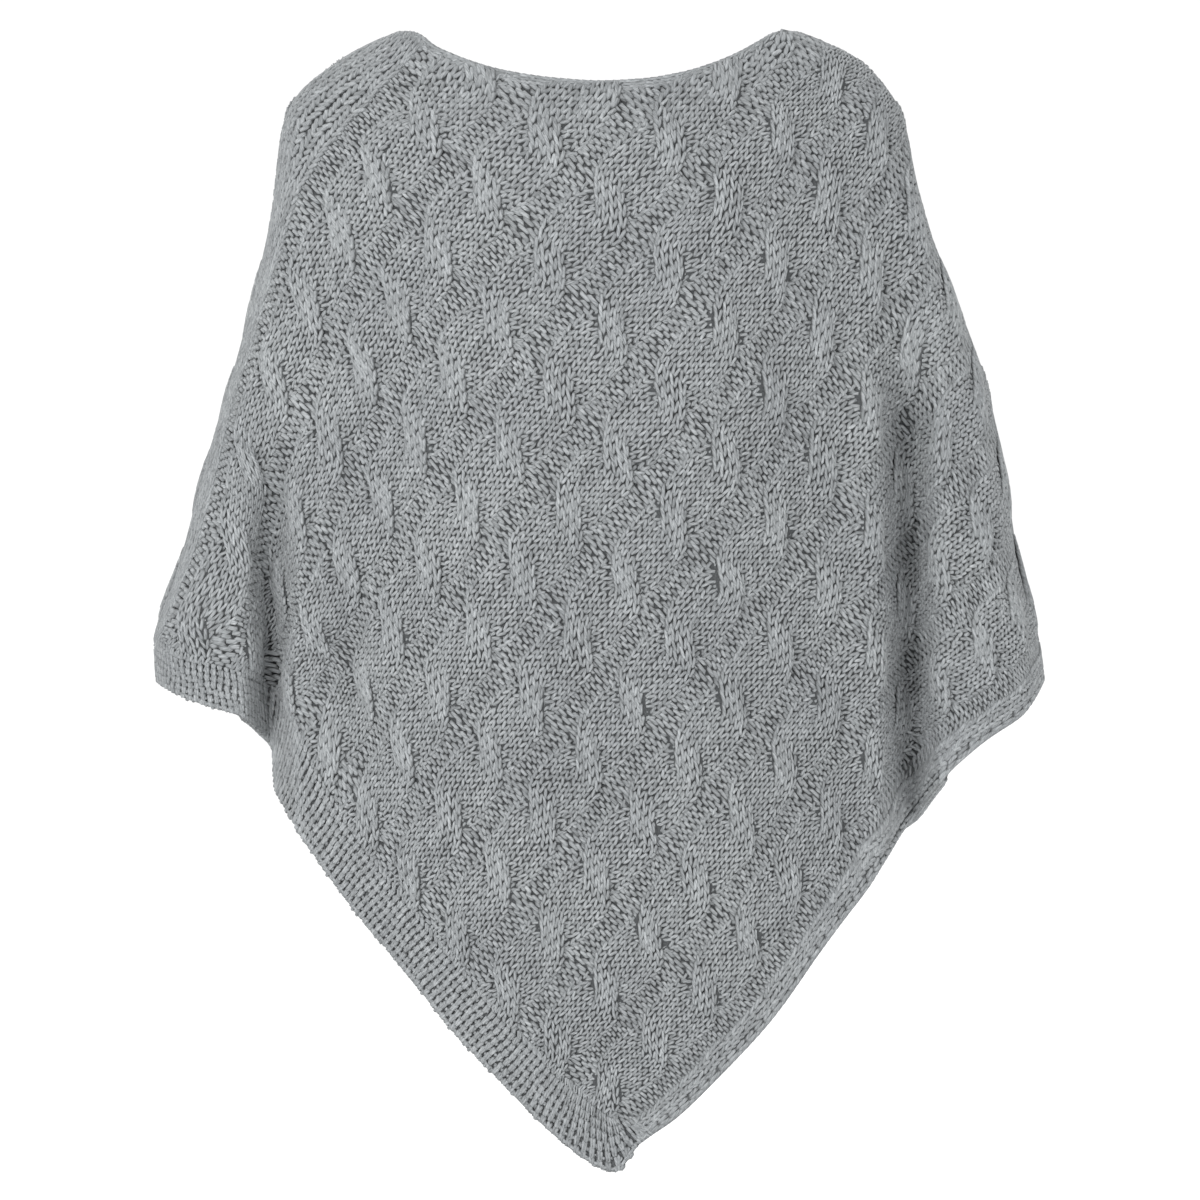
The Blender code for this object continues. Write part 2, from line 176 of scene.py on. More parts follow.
# Lines down the front that the columns of the cloth follow, each from the neck band to the hem band.
GUIDE_STATIONS = (0.20, 0.36, 0.56, 0.84)
GUIDES = [
    # down, arm hollow x, z, soft fold x, z, middle x, z, right arm hollow x, z
    (0.00, -111.0, -22.0, -70.0, -36.5, 0.0, -44.6, 99.0, -22.0),
    (0.10, -144.0, -48.5, -101.0, -73.0, 1.4, -103.0, 143.0, -44.0),
    (0.20, -181.0, -97.0, -132.0, -133.0, 2.8, -181.2, 180.0, -92.0),
    (0.35, -216.3, -174.9, -158.9, -222.4, 4.9, -293.8, 208.9, -170.9),
    (0.55, -230.0, -277.9, -169.5, -335.4, 8.4, -448.2, 220.0, -281.1),
    (0.78, -235.9, -398.9, -168.1, -469.6, 11.3, -603.0, 225.2, -413.2),
    (1.00, -235.5, -468.5, -137.0, -620.0, 12.7, -771.5, 219.0, -525.0),
]

# How far the cloth stands out from the seams' plane. At the seams it rounds over tightly for part of its depth,
# and then eases out over a wider stretch.
DEPTHS = [
    # z, sleeve front, chest, sleeve back, back, tight width, tight share, wide width
    (40.0, 42.0, 52.0, 42.0, 52.0, 20.0, 0.34, 110.0),
    (-36.0, 48.0, 67.0, 48.0, 72.0, 20.0, 0.36, 104.0),
    (-80.0, 52.0, 92.0, 52.0, 95.0, 20.0, 0.42, 96.0),
    (-140.0, 55.0, 112.0, 55.0, 111.0, 20.0, 0.50, 88.0),
    (-220.0, 58.0, 125.0, 58.0, 117.0, 20.0, 0.55, 80.0),
    (-320.0, 62.0, 128.0, 61.0, 113.0, 20.0, 0.57, 76.0),
    (-450.0, 65.0, 122.0, 63.0, 108.0, 20.0, 0.57, 72.0),
    (-600.0, 67.0, 115.0, 65.0, 105.0, 20.0, 0.57, 70.0),
    (-830.0, 69.0, 108.0, 67.0, 103.0, 20.0, 0.57, 70.0),
]
SLEEVE_EDGE = 232.0  # sideways distance where the body starts to stand out from the sleeve
BODY_FULL = 30.0  # and where it stands out fully

# Folds: hollows run down between the body and each arm, with a few softer ones beside them.
FRONT_FOLDS = [
    # top z, top x, middle x, end z, end x, fade in, fade out, depth, half width
    (-225.0, -229.0, -235.0, -640.0, -232.0, 190.0, 1.0, 31.0, 20.0),
    (-330.0, -185.0, -172.0, -610.0, -150.0, 110.0, 120.0, 8.0, 17.0),
    (-95.0, 209.0, 220.0, -660.0, 218.0, 260.0, 1.0, 29.0, 25.0),
    (-420.0, -92.0, -94.0, -640.0, -88.0, 110.0, 110.0, 3.5, 24.0),
]
BACK_FOLDS = [
    (-170.0, -222.0, -232.0, -640.0, -230.0, 230.0, 1.0, 27.0, 24.0),
    (-140.0, 212.0, 222.0, -660.0, 220.0, 250.0, 1.0, 29.0, 23.0),
    (-300.0, -118.0, -104.0, -700.0, -86.0, 170.0, 160.0, 9.0, 26.0),
    (-260.0, 70.0, 96.0, -690.0, 116.0, 190.0, 150.0, 7.0, 24.0),
    (-380.0, -20.0, -6.0, -720.0, 4.0, 150.0, 150.0, 5.0, 22.0),
]

# Columns of the cloth: stretches between stations. An eased stretch starts or ends tight, where it rounds over.
LEFT_COLUMNS = [
    # to station, steps, ease
    (0.12, 6, "in"),
    (0.15, 1, ""),
    (0.25, 9, ""),
    (0.30, 2, ""),
    (0.42, 4, ""),
]
FRONT_POINT_COLUMNS = [(0.515, 3, ""), (0.535, 1, ""), (0.548, 1, ""), (0.56, 1, ""), (0.60, 1, "")]
BACK_POINT_COLUMNS = [(0.52, 3, ""), (0.56, 1, ""), (0.574, 1, ""), (0.588, 1, ""), (0.61, 1, "")]
RIGHT_COLUMNS = [
    (0.78, 4, ""),
    (0.90, 8, ""),
    (1.00, 6, "out"),
]


def slopes(t, p):
    """The slope of a natural cubic spline through the points p at the stations t, at each station."""
    t, p = np.asarray(t, float), np.asarray(p, float)
    n = len(t)
    h = np.diff(t)
    a = np.zeros((n, n))
    b = np.zeros((n,) + p.shape[1:])
    a[0, 0], a[0, 1] = 2, 1
    b[0] = 3 * (p[1] - p[0]) / h[0]
    a[-1, -1], a[-1, -2] = 2, 1
    b[-1] = 3 * (p[-1] - p[-2]) / h[-1]
    for i in range(1, n - 1):
        a[i, i - 1], a[i, i], a[i, i + 1] = 1 / h[i - 1], 2 * (1 / h[i - 1] + 1 / h[i]), 1 / h[i]
        b[i] = 3 * ((p[i] - p[i - 1]) / h[i - 1] ** 2 + (p[i + 1] - p[i]) / h[i] ** 2)
    return np.linalg.solve(a, b.reshape(n, -1)).reshape(b.shape)


def spline(t, p, x):
    """The natural cubic spline through the points p at the stations t, read at x."""
    t, p, x = np.asarray(t, float), np.asarray(p, float), np.atleast_1d(np.asarray(x, float))
    m = slopes(t, p)
    k = np.clip(np.searchsorted(t, x, side="right") - 1, 0, len(t) - 2)
    h = (t[k + 1] - t[k]).reshape(-1, *[1] * (p.ndim - 1))
    u = (x - t[k]).reshape(h.shape) / h
    return (
        (1 + 2 * u) * (1 - u) ** 2 * p[k]
        + u * (1 - u) ** 2 * h * m[k]
        + u * u * (3 - 2 * u) * p[k + 1]
        + u * u * (u - 1) * h * m[k + 1]
    )


def gentle(t, p, x):
    """A curve through the points p that never swings past them, read at x."""
    t, p, x = np.asarray(t, float), np.asarray(p, float), np.atleast_1d(np.asarray(x, float))
    h = np.diff(t).reshape(-1, *[1] * (p.ndim - 1))
    d = np.diff(p, axis=0) / h
    m = np.zeros_like(p)
    same = d[:-1] * d[1:] > 0
    mid = np.where(same, 2 * d[:-1] * d[1:] / np.where(same, d[:-1] + d[1:], 1), 0)
    m[1:-1], m[0], m[-1] = mid, d[0], d[-1]
    k = np.clip(np.searchsorted(t, x, side="right") - 1, 0, len(t) - 2)
    hk = h[k]
    u = (x - t[k]).reshape(hk.shape) / hk
    return (
        (1 + 2 * u) * (1 - u) ** 2 * p[k]
        + u * (1 - u) ** 2 * hk * m[k]
        + u * u * (3 - 2 * u) * p[k + 1]
        + u * u * (u - 1) * hk * m[k + 1]
    )


def smooth(x):
    x = np.clip(x, 0, 1)
    return x * x * x * (x * (6 * x - 15) + 10)


def stations(back):
    """The columns' stations from one seam to the other."""
    found, start = [0.0], 0.0
    for end, steps, ease in LEFT_COLUMNS + (BACK_POINT_COLUMNS if back else FRONT_POINT_COLUMNS) + RIGHT_COLUMNS:
        for i in range(1, steps + 1):
            u = i / steps
            if ease == "in":
                u = u * u
            elif ease == "out":
                u = 1 - (1 - u) ** 2
            found.append(start + (end - start) * u)
        start = end
    return np.array(found)


def along(seam, share):
    """Points on a seam at the given shares of its length, from the neck band's edge to the hem band's."""
    pts = np.array(seam)
    run = np.concatenate([[0], np.cumsum(np.linalg.norm(np.diff(pts, axis=0), axis=1))])
    end = run[-1 - HEM_BAND_ON_SEAM]
    return spline(run, pts, NECK_BAND + (end - NECK_BAND) * np.asarray(share))


def hem_table(back):
    """The hem's outer and inner edges. The back's bands are the other way round, and its hem is a little higher."""
    if not back:
        return np.array(FRONT_HEM)
    first, last = BACK_POINT[0][0], BACK_POINT[-1][0]
    rows = []
    for a, ox, oz, ix, iz in FRONT_HEM:
        if a < first or a > last:
            wide = (RIB_BAND / PLAIN_BAND) if a > TIP else (PLAIN_BAND / RIB_BAND)
            wide = 1 + (wide - 1) * smooth(min(a, 1 - a) / 0.04)
            rows.append((a, ox, oz, ox + (ix - ox) * wide, oz + (iz - oz) * wide))
    rows = np.array(sorted(rows + BACK_POINT))
    rows[:, [2, 4]] += (BACK_LIFT * smooth(np.minimum(rows[:, 0], 1 - rows[:, 0]) / 0.06))[:, None]
    return rows


def outline(back, a):
    """The neck's and the hem's edges, outer and inner, at the stations a."""
    neck = np.array(NECK)
    edge = gentle(neck[:, 0], neck[:, 1:], a)
    way = np.gradient(edge, a, axis=0)
    way /= np.linalg.norm(way, axis=1)[:, None]
    down = np.stack([way[:, 1], -way[:, 0]], 1)
    first, last = along(LEFT_SEAM, [0.0])[0] - edge[0], along(RIGHT_SEAM, [0.0])[0] - edge[-1]
    left, right = smooth(1 - a / 0.14)[:, None], smooth(1 - (1 - a) / 0.14)[:, None]
    step = NECK_BAND * down * (1 - left) * (1 - right) + first * left + last * right
    step *= (NECK_BAND / np.linalg.norm(step, axis=1))[:, None]
    step[0], step[-1] = first, last
    hem = hem_table(back)
    points = gentle(hem[:, 0], hem[:, 1:], a)
    return edge, edge + step, points[:, :2], points[:, 2:]


def flat_grid(back, a, down):
    """Where each point of the panel is in the front view: one row for each share of the way down."""
    _, top, _, bottom = outline(back, a)
    table = np.array(GUIDES)
    guides = spline(table[:, 0], table[:, 1:], down).reshape(len(down), -1, 2)
    left, right = along(LEFT_SEAM, down), along(RIGHT_SEAM, down)
    knots = np.array([0.0, *GUIDE_STATIONS, 1.0])
    rows = np.stack([spline(knots, np.vstack([l, g, r]), a) for l, g, r in zip(left, guides, right)])
    share = np.asarray(down)[:, None, None]
    rows = rows + (1 - share) ** 4 * (top - rows[0]) + share**4 * (bottom - rows[-1])
    rows[:, 0], rows[:, -1] = left, right
    rows[-1], rows[0] = bottom, top
    return rows


def fold_depth(folds, x, z):
    total = np.zeros_like(x)
    for top_z, top_x, mid_x, end_z, end_x, fade_in, fade_out, depth, half in folds:
        u = (top_z - z) / (top_z - end_z)
        w = np.clip(u, 0, 1)
        line = top_x * (1 - w) * (1 - 2 * w) + 4 * mid_x * w * (1 - w) + end_x * w * (2 * w - 1)
        into = smooth((top_z - z) / fade_in) * smooth((z - end_z) / fade_out)
        wide = half * (1.5 - 0.5 * smooth((top_z - z) / fade_in))
        across = np.clip(np.abs(x - line) / wide, 0, 1)
        total += depth * into * np.cos(0.5 * np.pi * across) ** 2
    return total


def stand_out(back, points, seam_way):
    """How far each point of a grid stands out in front of, or behind, the plane of the seams.

    seam_way holds, for each row, the seams' directions at its two ends.
    """
    x, z = points[..., 0], points[..., 1]
    table = np.array(DEPTHS)[::-1]
    shape = z.shape
    sleeve, body, tight, share, wide = (
        gentle(table[:, 0], table[:, c], z.ravel()).reshape(shape)
        for c in ((3, 4, 5, 6, 7) if back else (1, 2, 5, 6, 7))
    )
    inward = smooth((SLEEVE_EDGE - np.abs(x)) / (SLEEVE_EDGE - BODY_FULL))
    out = sleeve + (body - sleeve) * inward
    out = out - fold_depth(BACK_FOLDS if back else FRONT_FOLDS, x, z)
    for end, way in ((0, seam_way[0]), (-1, seam_way[1])):
        off = points - points[:, end : (end + 1) or None]
        side = np.abs(off[..., 0] * way[:, None, 1] - off[..., 1] * way[:, None, 0])
        near, far = np.clip(side / tight, 0, 1), np.clip(side / wide, 0, 1)
        out = out * (share * np.sqrt(1 - (1 - near) ** 2) + (1 - share) * far * (2 - far))
    return out


def unit(v):
    return v / np.maximum(np.linalg.norm(v, axis=-1, keepdims=True), 1e-9)


def cloth(back, a, rows):
    """The outer face's points and outward directions for a grid of front-view points, rows from the neck down."""
    step = np.gradient(rows, axis=0)
    ways = (unit(step[:, 0]), unit(step[:, -1]))
    out = stand_out(back, rows, ways)
    sign = 1.0 if back else -1.0
    points = np.stack([rows[..., 0], sign * (GAP / 2 + out), rows[..., 1]], -1)
    return points, outward(back, a, points)


def outward(back, a, points):
    sign = 1.0 if back else -1.0
    across = np.gradient(points, axis=1)
    across[:, 0] = (0, sign, 0)
    across[:, -1] = (0, -sign, 0)
    downward = np.gradient(points, axis=0)
    downward[:, 0, 1] = downward[:, -1, 1] = 0
    normal = unit(np.cross(across, downward))
    return normal * np.sign((normal[:, len(a) // 2, 1] * sign).mean())



# Softer creases than the solids have, laid over their folds. A trough has a positive depth, and a ridge a negative one.
FRONT_CREASES = [
    # top z, top x, middle x, end z, end x, fade in, fade out, depth, half width
    (-300.0, -262.0, -268.0, -470.0, -262.0, 90.0, 40.0, 3.2, 13.0),
    (-250.0, -150.0, -146.0, -520.0, -120.0, 120.0, 120.0, 2.8, 15.0),
    (-430.0, 160.0, 176.0, -640.0, 182.0, 90.0, 60.0, 3.6, 15.0),
    (-280.0, 172.0, 188.0, -470.0, 190.0, 100.0, 90.0, -2.4, 15.0),
    (-330.0, 262.0, 268.0, -480.0, 272.0, 90.0, 40.0, 2.2, 12.0),
    (-110.0, -60.0, -80.0, -260.0, -96.0, 80.0, 90.0, -1.8, 26.0),
    (-560.0, 40.0, 44.0, -720.0, 34.0, 90.0, 70.0, 2.2, 22.0),
]
BACK_CREASES = [
    (-260.0, -255.0, -262.0, -455.0, -262.0, 90.0, 40.0, 2.8, 13.0),
    (-300.0, 258.0, 266.0, -455.0, 270.0, 90.0, 40.0, 3.0, 12.0),
    (-210.0, 150.0, 158.0, -500.0, 160.0, 110.0, 110.0, 3.0, 17.0),
    (-420.0, -160.0, -166.0, -600.0, -160.0, 100.0, 80.0, 3.4, 15.0),
    (-120.0, 20.0, 34.0, -330.0, 46.0, 90.0, 110.0, -2.0, 24.0),
    (-540.0, -60.0, -52.0, -720.0, -40.0, 90.0, 70.0, 2.4, 20.0),
]

# Where the hollows beside the arms close up further, without a change to how the knit lies.
FRONT_CLOSER = [
    (-170.0, 218.0, 224.0, -610.0, 222.0, 180.0, 70.0, 14.5, 20.0),
    (-330.0, -236.0, -237.0, -560.0, -235.0, 150.0, 60.0, 7.0, 15.0),
]
BACK_CLOSER = [
    (-200.0, -228.0, -234.0, -600.0, -232.0, 200.0, 70.0, 9.0, 15.0),
    (-200.0, 218.0, 223.0, -580.0, 222.0, 200.0, 70.0, 9.0, 15.0),
]

# ---------------------------------------------------------------------------------------------------------------
# How the knit lies on it. Sizes of the knit:
# ---------------------------------------------------------------------------------------------------------------

WALE = 5.95  # mm, one stitch across
ROW = 5.6  # mm, one row
REPEAT = 10  # stitches in a cable with its gutter, and rows between its crossings
SLOT = 0.955  # wales of a cable draw together a little
CROSS_HALF = 2.9  # rows over which a crossing is made, on each side of its middle
LEFT_EDGE_X = -47.0  # the panel's side selvage
PLAIN_X = -41.0  # plain wales from the selvage to here
PLAIN_HEM_X = 60.0  # where the plain band starts
PLAIN_HEM_WALES = 4.0
RIB_ROWS = 6
RIB_Y = -53.0  # where the ribbed band starts
TOP_Y = 66.0  # the bind-off, along the other side seam
BASE = -2.5  # the backing's level below the solids' outer face
SHELL = 2.8  # the backing's wall

# Where the knit's crossings lie on the front spread flat. Rows go up the wales, columns go along the course.
NET_X = (-50.0, -35.0, -20.0, 0.0, 20.0, 40.0, 55.0, 70.0)
NET = [
    # Y, then (x, z) at each X
    (-60, (-439, -449), (-362, -482), (-290, -516), (-215, -583), (-149, -662), (-79, -739), (-26, -793), (26, -847)),
    (-50, (-412, -387), (-334, -426), (-263, -464), (-189, -538), (-120, -621), (-47, -700), (7, -756), (60, -812)),
    (-35, (-367, -288), (-290, -338), (-225, -389), (-150, -471), (-75, -557), (1, -641), (57, -701), (112, -760)),
    (-20, (-325, -188), (-250, -248), (-186, -313), (-106, -406), (-28, -496), (49, -582), (106, -645), (163, -705)),
    (0, (-277, -67), (-202, -142), (-130, -222), (-42, -323), (37, -414), (115, -501), (173, -565), (229, -628)),
    (20, (-207, 29), (-129, -60), (-57, -144), (29, -239), (110, -329), (189, -422), (243, -492), (296, -564)),
    (40, (-122, 114), (-44, 26), (27, -54), (112, -144), (189, -243), (263, -354), (313, -438), (359, -521)),
    (55, (-58, 183), (17, 101), (89, 26), (176, -66), (250, -180), (315, -307), (361, -398), (405, -485)),
    (70, (5, 255), (78, 179), (149, 107), (238, 9), (308, -117), (366, -256), (409, -356), (455, -449)),
]

GRID_SPLIT = 4  # columns of the backing to a column of the solids
GRID_ROWS = 160
HEM_ROWS = 8
NECK_ROWS = 3
INNER_STEP = 4  # the inside is this much coarser

rng = np.random.default_rng(20)


def between(outer_edge, inner_edge, shares):
    """Rows of points from one edge to the other."""
    return np.stack([outer_edge * (1 - s) + inner_edge * s for s in shares])


def unroll(a, sheet, points, normal):
    """The front view's points, with the cloth's depth opened out sideways from the middle column."""
    mid = int(np.argmin(np.abs(a - TIP)))
    step = np.diff(sheet, axis=1)
    rise = np.diff(points[..., 1], axis=1)
    way = normal[..., [0, 2]]
    way = unit(way[:, 1:] + way[:, :-1])
    part = (way * step).sum(2)
    extra = (np.sqrt(part * part + rise * rise) - np.abs(part)) * np.sign(part)
    step = step + extra[..., None] * way
    flat = np.zeros_like(sheet)
    flat[:, mid] = sheet[:, mid]
    flat[:, mid + 1 :] = sheet[:, mid : mid + 1] + np.cumsum(step[:, mid:], axis=1)
    flat[:, :mid] = sheet[:, mid : mid + 1] - np.cumsum(step[:, :mid][:, ::-1], axis=1)[:, ::-1]
    return flat


def net_at(x, y):
    """Where knit positions lie on the front spread flat."""
    across = spline(NET_X, np.eye(len(NET_X)), x)
    up = spline([row[0] for row in NET], np.eye(len(NET)), y)
    table = np.array([row[1:] for row in NET], float)
    return np.einsum("ni,nj,ijk->nk", up, across, table)


def knit_at(flat):
    """The knit positions of points of the front spread flat."""
    start = np.array([-50.0, -306.9])
    turn = np.linalg.inv(np.array([[4.07, 3.51], [-4.54, 4.26]]))
    at = (flat - start) @ turn.T
    for _ in range(9):
        x, y = at[:, 0], at[:, 1]
        here = net_at(x, y)
        dx, dy = (net_at(x + 0.05, y) - here) / 0.05, (net_at(x, y + 0.05) - here) / 0.05
        off = flat - here
        det = dx[:, 0] * dy[:, 1] - dx[:, 1] * dy[:, 0]
        det = np.where(np.abs(det) < 1e-6, 1e-6, det)
        move = np.stack(
            [off[:, 0] * dy[:, 1] - off[:, 1] * dy[:, 0], dx[:, 0] * off[:, 1] - dx[:, 1] * off[:, 0]], 1
        )
        at = at + np.clip(move / det[:, None], -8, 8)
    return at


def drawn_to(value, flat, edge, target, reach=85.0):
    """Moves a field so that it has its true value along an edge, and less and less so further in."""
    grid, line = flat.reshape(-1, 2), flat[edge].reshape(-1, 2)
    lack = target - value[edge].ravel()
    moved = value.ravel().copy()
    for i in range(0, len(grid), 8000):
        d = np.linalg.norm(grid[i : i + 8000, None] - line[None], axis=2)
        near = d.min(1)
        w = np.exp(-(d - near[:, None]) / 12.0)
        moved[i : i + 8000] += smooth(1 - near / reach) * (w * lack).sum(1) / w.sum(1)
    return moved.reshape(value.shape)


def read(field, at):
    """A grid's values between its points."""
    rows, cols = field.shape[:2]
    i = np.clip(np.floor(at[..., 0]).astype(int), 0, rows - 2)
    j = np.clip(np.floor(at[..., 1]).astype(int), 0, cols - 2)
    u, v = (at[..., 0] - i)[..., None], (at[..., 1] - j)[..., None]
    return (
        field[i, j] * (1 - u) * (1 - v)
        + field[i + 1, j] * u * (1 - v)
        + field[i, j + 1] * (1 - u) * v
        + field[i + 1, j + 1] * u * v
    )


def find(field, target):
    """Grid positions where a two-valued grid has the target values, kept on the grid, and how far off they are."""
    rows, cols = field.shape[:2]
    few = field[::4, ::4]
    flat = few.reshape(-1, 2)
    nearest = np.concatenate(
        [((target[i : i + 3000, None] - flat[None]) ** 2).sum(2).argmin(1) for i in range(0, len(target), 3000)]
    )
    at = np.stack([nearest // few.shape[1] * 4, nearest % few.shape[1] * 4], 1).astype(float)
    for _ in range(22):
        i = np.clip(np.floor(at[:, 0]).astype(int), 0, rows - 2)
        j = np.clip(np.floor(at[:, 1]).astype(int), 0, cols - 2)
        u, v = (at[:, 0] - i)[:, None], (at[:, 1] - j)[:, None]
        f00, f10, f01, f11 = field[i, j], field[i + 1, j], field[i, j + 1], field[i + 1, j + 1]
        here = f00 * (1 - u) * (1 - v) + f10 * u * (1 - v) + f01 * (1 - u) * v + f11 * u * v
        du = (f10 - f00) * (1 - v) + (f11 - f01) * v
        dv = (f01 - f00) * (1 - u) + (f11 - f10) * u
        off = target - here
        det = du[:, 0] * dv[:, 1] - du[:, 1] * dv[:, 0]
        det = np.where(np.abs(det) < 1e-9, 1e-9, det)
        move = np.stack([off[:, 0] * dv[:, 1] - off[:, 1] * dv[:, 0], du[:, 0] * off[:, 1] - du[:, 1] * off[:, 0]], 1)
        at += np.clip(move / det[:, None], -8, 8) * 0.85
        at[:, 0] = np.clip(at[:, 0], 0, rows - 1)
        at[:, 1] = np.clip(at[:, 1], 0, cols - 1)
    here = read(field, at)
    return at, np.linalg.norm(here - target, axis=1)


class Side:
    """The front or the back: its grid of points, and the knit's lie on it."""

    def __init__(self, back):
        self.back = back
        base = stations(back)
        parts = [np.linspace(p, q, GRID_SPLIT + 1)[:-1] for p, q in zip(base, base[1:])]
        a = self.a = np.concatenate(parts + [base[-1:]])
        edge, top, hem, bottom = outline(back, a)
        down = np.linspace(0, 1, GRID_ROWS + 1)
        neck = between(edge, top, np.linspace(0, 1, NECK_ROWS + 1))
        band = between(bottom, hem, np.linspace(0, 1, HEM_ROWS + 1))
        sheet = np.concatenate([neck[:-1], flat_grid(back, a, down), band[1:]])
        self.points, self.normal = cloth(back, a, sheet)
        self.top, self.low = NECK_ROWS, NECK_ROWS + GRID_ROWS
        self.tip = int(np.argmin(np.abs(a - TIP)))
        flat = unroll(a, sheet, self.points, self.normal)
        if back:
            flat = flat * (-1, 1)
        self.flat = flat
        knit = knit_at(flat.reshape(-1, 2)).reshape(flat.shape)
        x, y = knit[..., 0], knit[..., 1]
        first, last, low = 0, len(a) - 1, self.low
        wales, ends = (last, first) if back else (first, last)
        down_seam = slice(self.top, low + 1)
        rib = (low, slice(self.tip, None)) if back else (low, slice(None, self.tip + 1))
        plain = (low, slice(None, self.tip + 1)) if back else (low, slice(self.tip, None))
        x = drawn_to(x, flat, (down_seam, wales), LEFT_EDGE_X)
        x = drawn_to(x, flat, plain, PLAIN_HEM_X)
        y = drawn_to(y, flat, (down_seam, ends), np.clip(y[down_seam, ends], TOP_Y - 3, TOP_Y + 1))
        y = drawn_to(y, flat, rib, RIB_Y)
        # Wales and rows run on over the bands.
        out = np.linspace(0, 1, HEM_ROWS + 1)[1:, None]
        for (_, part), field, other, wide in ((plain, x, y, PLAIN_HEM_WALES), (rib, y, x, -RIB_ROWS)):
            field[low + 1 :, part] = field[low, part] + out * wide
            other[low + 1 :, part] = other[low, part]
        self.knit = np.stack([x, y], -1)
        self.rib, self.plain, self.wales, self.ends = rib, plain, wales, ends
        closer = fold_depth(BACK_CLOSER if back else FRONT_CLOSER, sheet[..., 0], sheet[..., 1])
        self.points[..., 1] -= closer if back else -closer
        self.normal = outward(back, a, self.points)
        # Half-stitch lattice over the panel and the bands.
        panel = self.knit[1:]
        xs, ys = np.arange(-48.0, 65.01, 0.5), np.arange(-60.0, 69.01, 0.5)
        gx, gy = np.meshgrid(xs, ys)
        at, off = find(panel, np.stack([gx.ravel(), gy.ravel()], 1))
        at[:, 0] += 1
        self.x0, self.y0 = xs[0], ys[0]
        self.where = at.reshape(*gx.shape, 2)
        self.off = off.reshape(gx.shape)
        self.at_points = read(self.points, self.where)
        self.at_normal = unit(read(self.normal, self.where))

    def place(self, x, y):
        """Points, outward directions and misfit at knit positions."""
        at = np.stack([(y - self.y0) * 2, (x - self.x0) * 2], -1)
        at = np.clip(at, 0, np.array(self.off.shape) - 1.001)
        return read(self.at_points, at), unit(read(self.at_normal, at)), read(self.off[..., None], at)[..., 0]

    def on_grid(self, rows, cols):
        """Points and outward directions at places between the grid's points."""
        at = np.stack(np.broadcast_arrays(rows, cols), -1)
        return read(self.points, at), unit(read(self.normal, at))


# ---------------------------------------------------------------------------------------------------------------
# Cables
# ---------------------------------------------------------------------------------------------------------------


def crossing(y):
    """Rows from the nearest crossing, and which one it is."""
    k = np.round(y / REPEAT)
    return y - REPEAT * k, k


def sway(d):
    """How far a strand's middle is from the cable's middle, in stitches. The front strand goes from right to left."""
    t = np.clip((d + CROSS_HALF) / (2 * CROSS_HALF), 0, 1)
    return 2 * SLOT * (1 - 2 * t * t * (3 - 2 * t))


def spread(d, front):
    """How much wider than its wales a slanting strand lies. The back strand is squeezed out to both sides."""
    return np.where(front, 1 + 0.26 * np.exp(-((d / 2.0) ** 2)), 1 + 0.72 * np.exp(-((d / 1.3) ** 2)))


def raised(d):
    return np.exp(-((d / 2.7) ** 2))


def cable_edge(d, right=True):
    """From the cable's middle to its right or left edge, in stitches."""
    d = d if right else -d
    return np.maximum(sway(d) + 2 * SLOT * spread(d, True), -sway(d) + 2 * SLOT * spread(d, False))


FRONT_RISE = 2.9
BACK_DROP = -1.0
GUTTER_DEPTH = -0.8
DOME = 0.9


def front_height(d, across):
    """Height of the front strand above the plain level; across goes from -1 to 1."""
    return FRONT_RISE * raised(d) * np.sqrt(np.clip(1 - (across / 1.12) ** 2, 0, 1))


def has_cables(x):
    return (x > -40.0) & (x < 60.0)


def relief(x, y):
    """Height of the backing above its own plain level."""
    u = x - REPEAT * np.floor(x / REPEAT) - REPEAT / 2
    d, _ = crossing(y)
    edge = np.where(u > 0, cable_edge(d), cable_edge(d, False))
    dome = DOME * (1 - np.clip(np.abs(u) / 4.3, 0, 1) ** 2)
    across = (u - sway(d)) / (2 * SLOT * spread(d, True))
    lower = BACK_DROP * raised(d)
    over = np.maximum(front_height(d, across), 0) * (np.abs(across) < 1.12) + lower * (np.abs(across) >= 1.12)
    cable = dome + over
    gutter = smooth((np.abs(u) - edge + 0.7) / 0.75)
    with_cables = cable * (1 - gutter) + GUTTER_DEPTH * gutter
    beside = smooth((np.minimum(61.25 - x, x + 41.25)) / 0.6)
    plain = 0.3 * (1 - beside) + GUTTER_DEPTH * beside
    return np.where(has_cables(x), with_cables, plain)


# ---------------------------------------------------------------------------------------------------------------
# Stitches: each is made of plump lengths of yarn that taper and dip into the cloth at both ends.
# ---------------------------------------------------------------------------------------------------------------


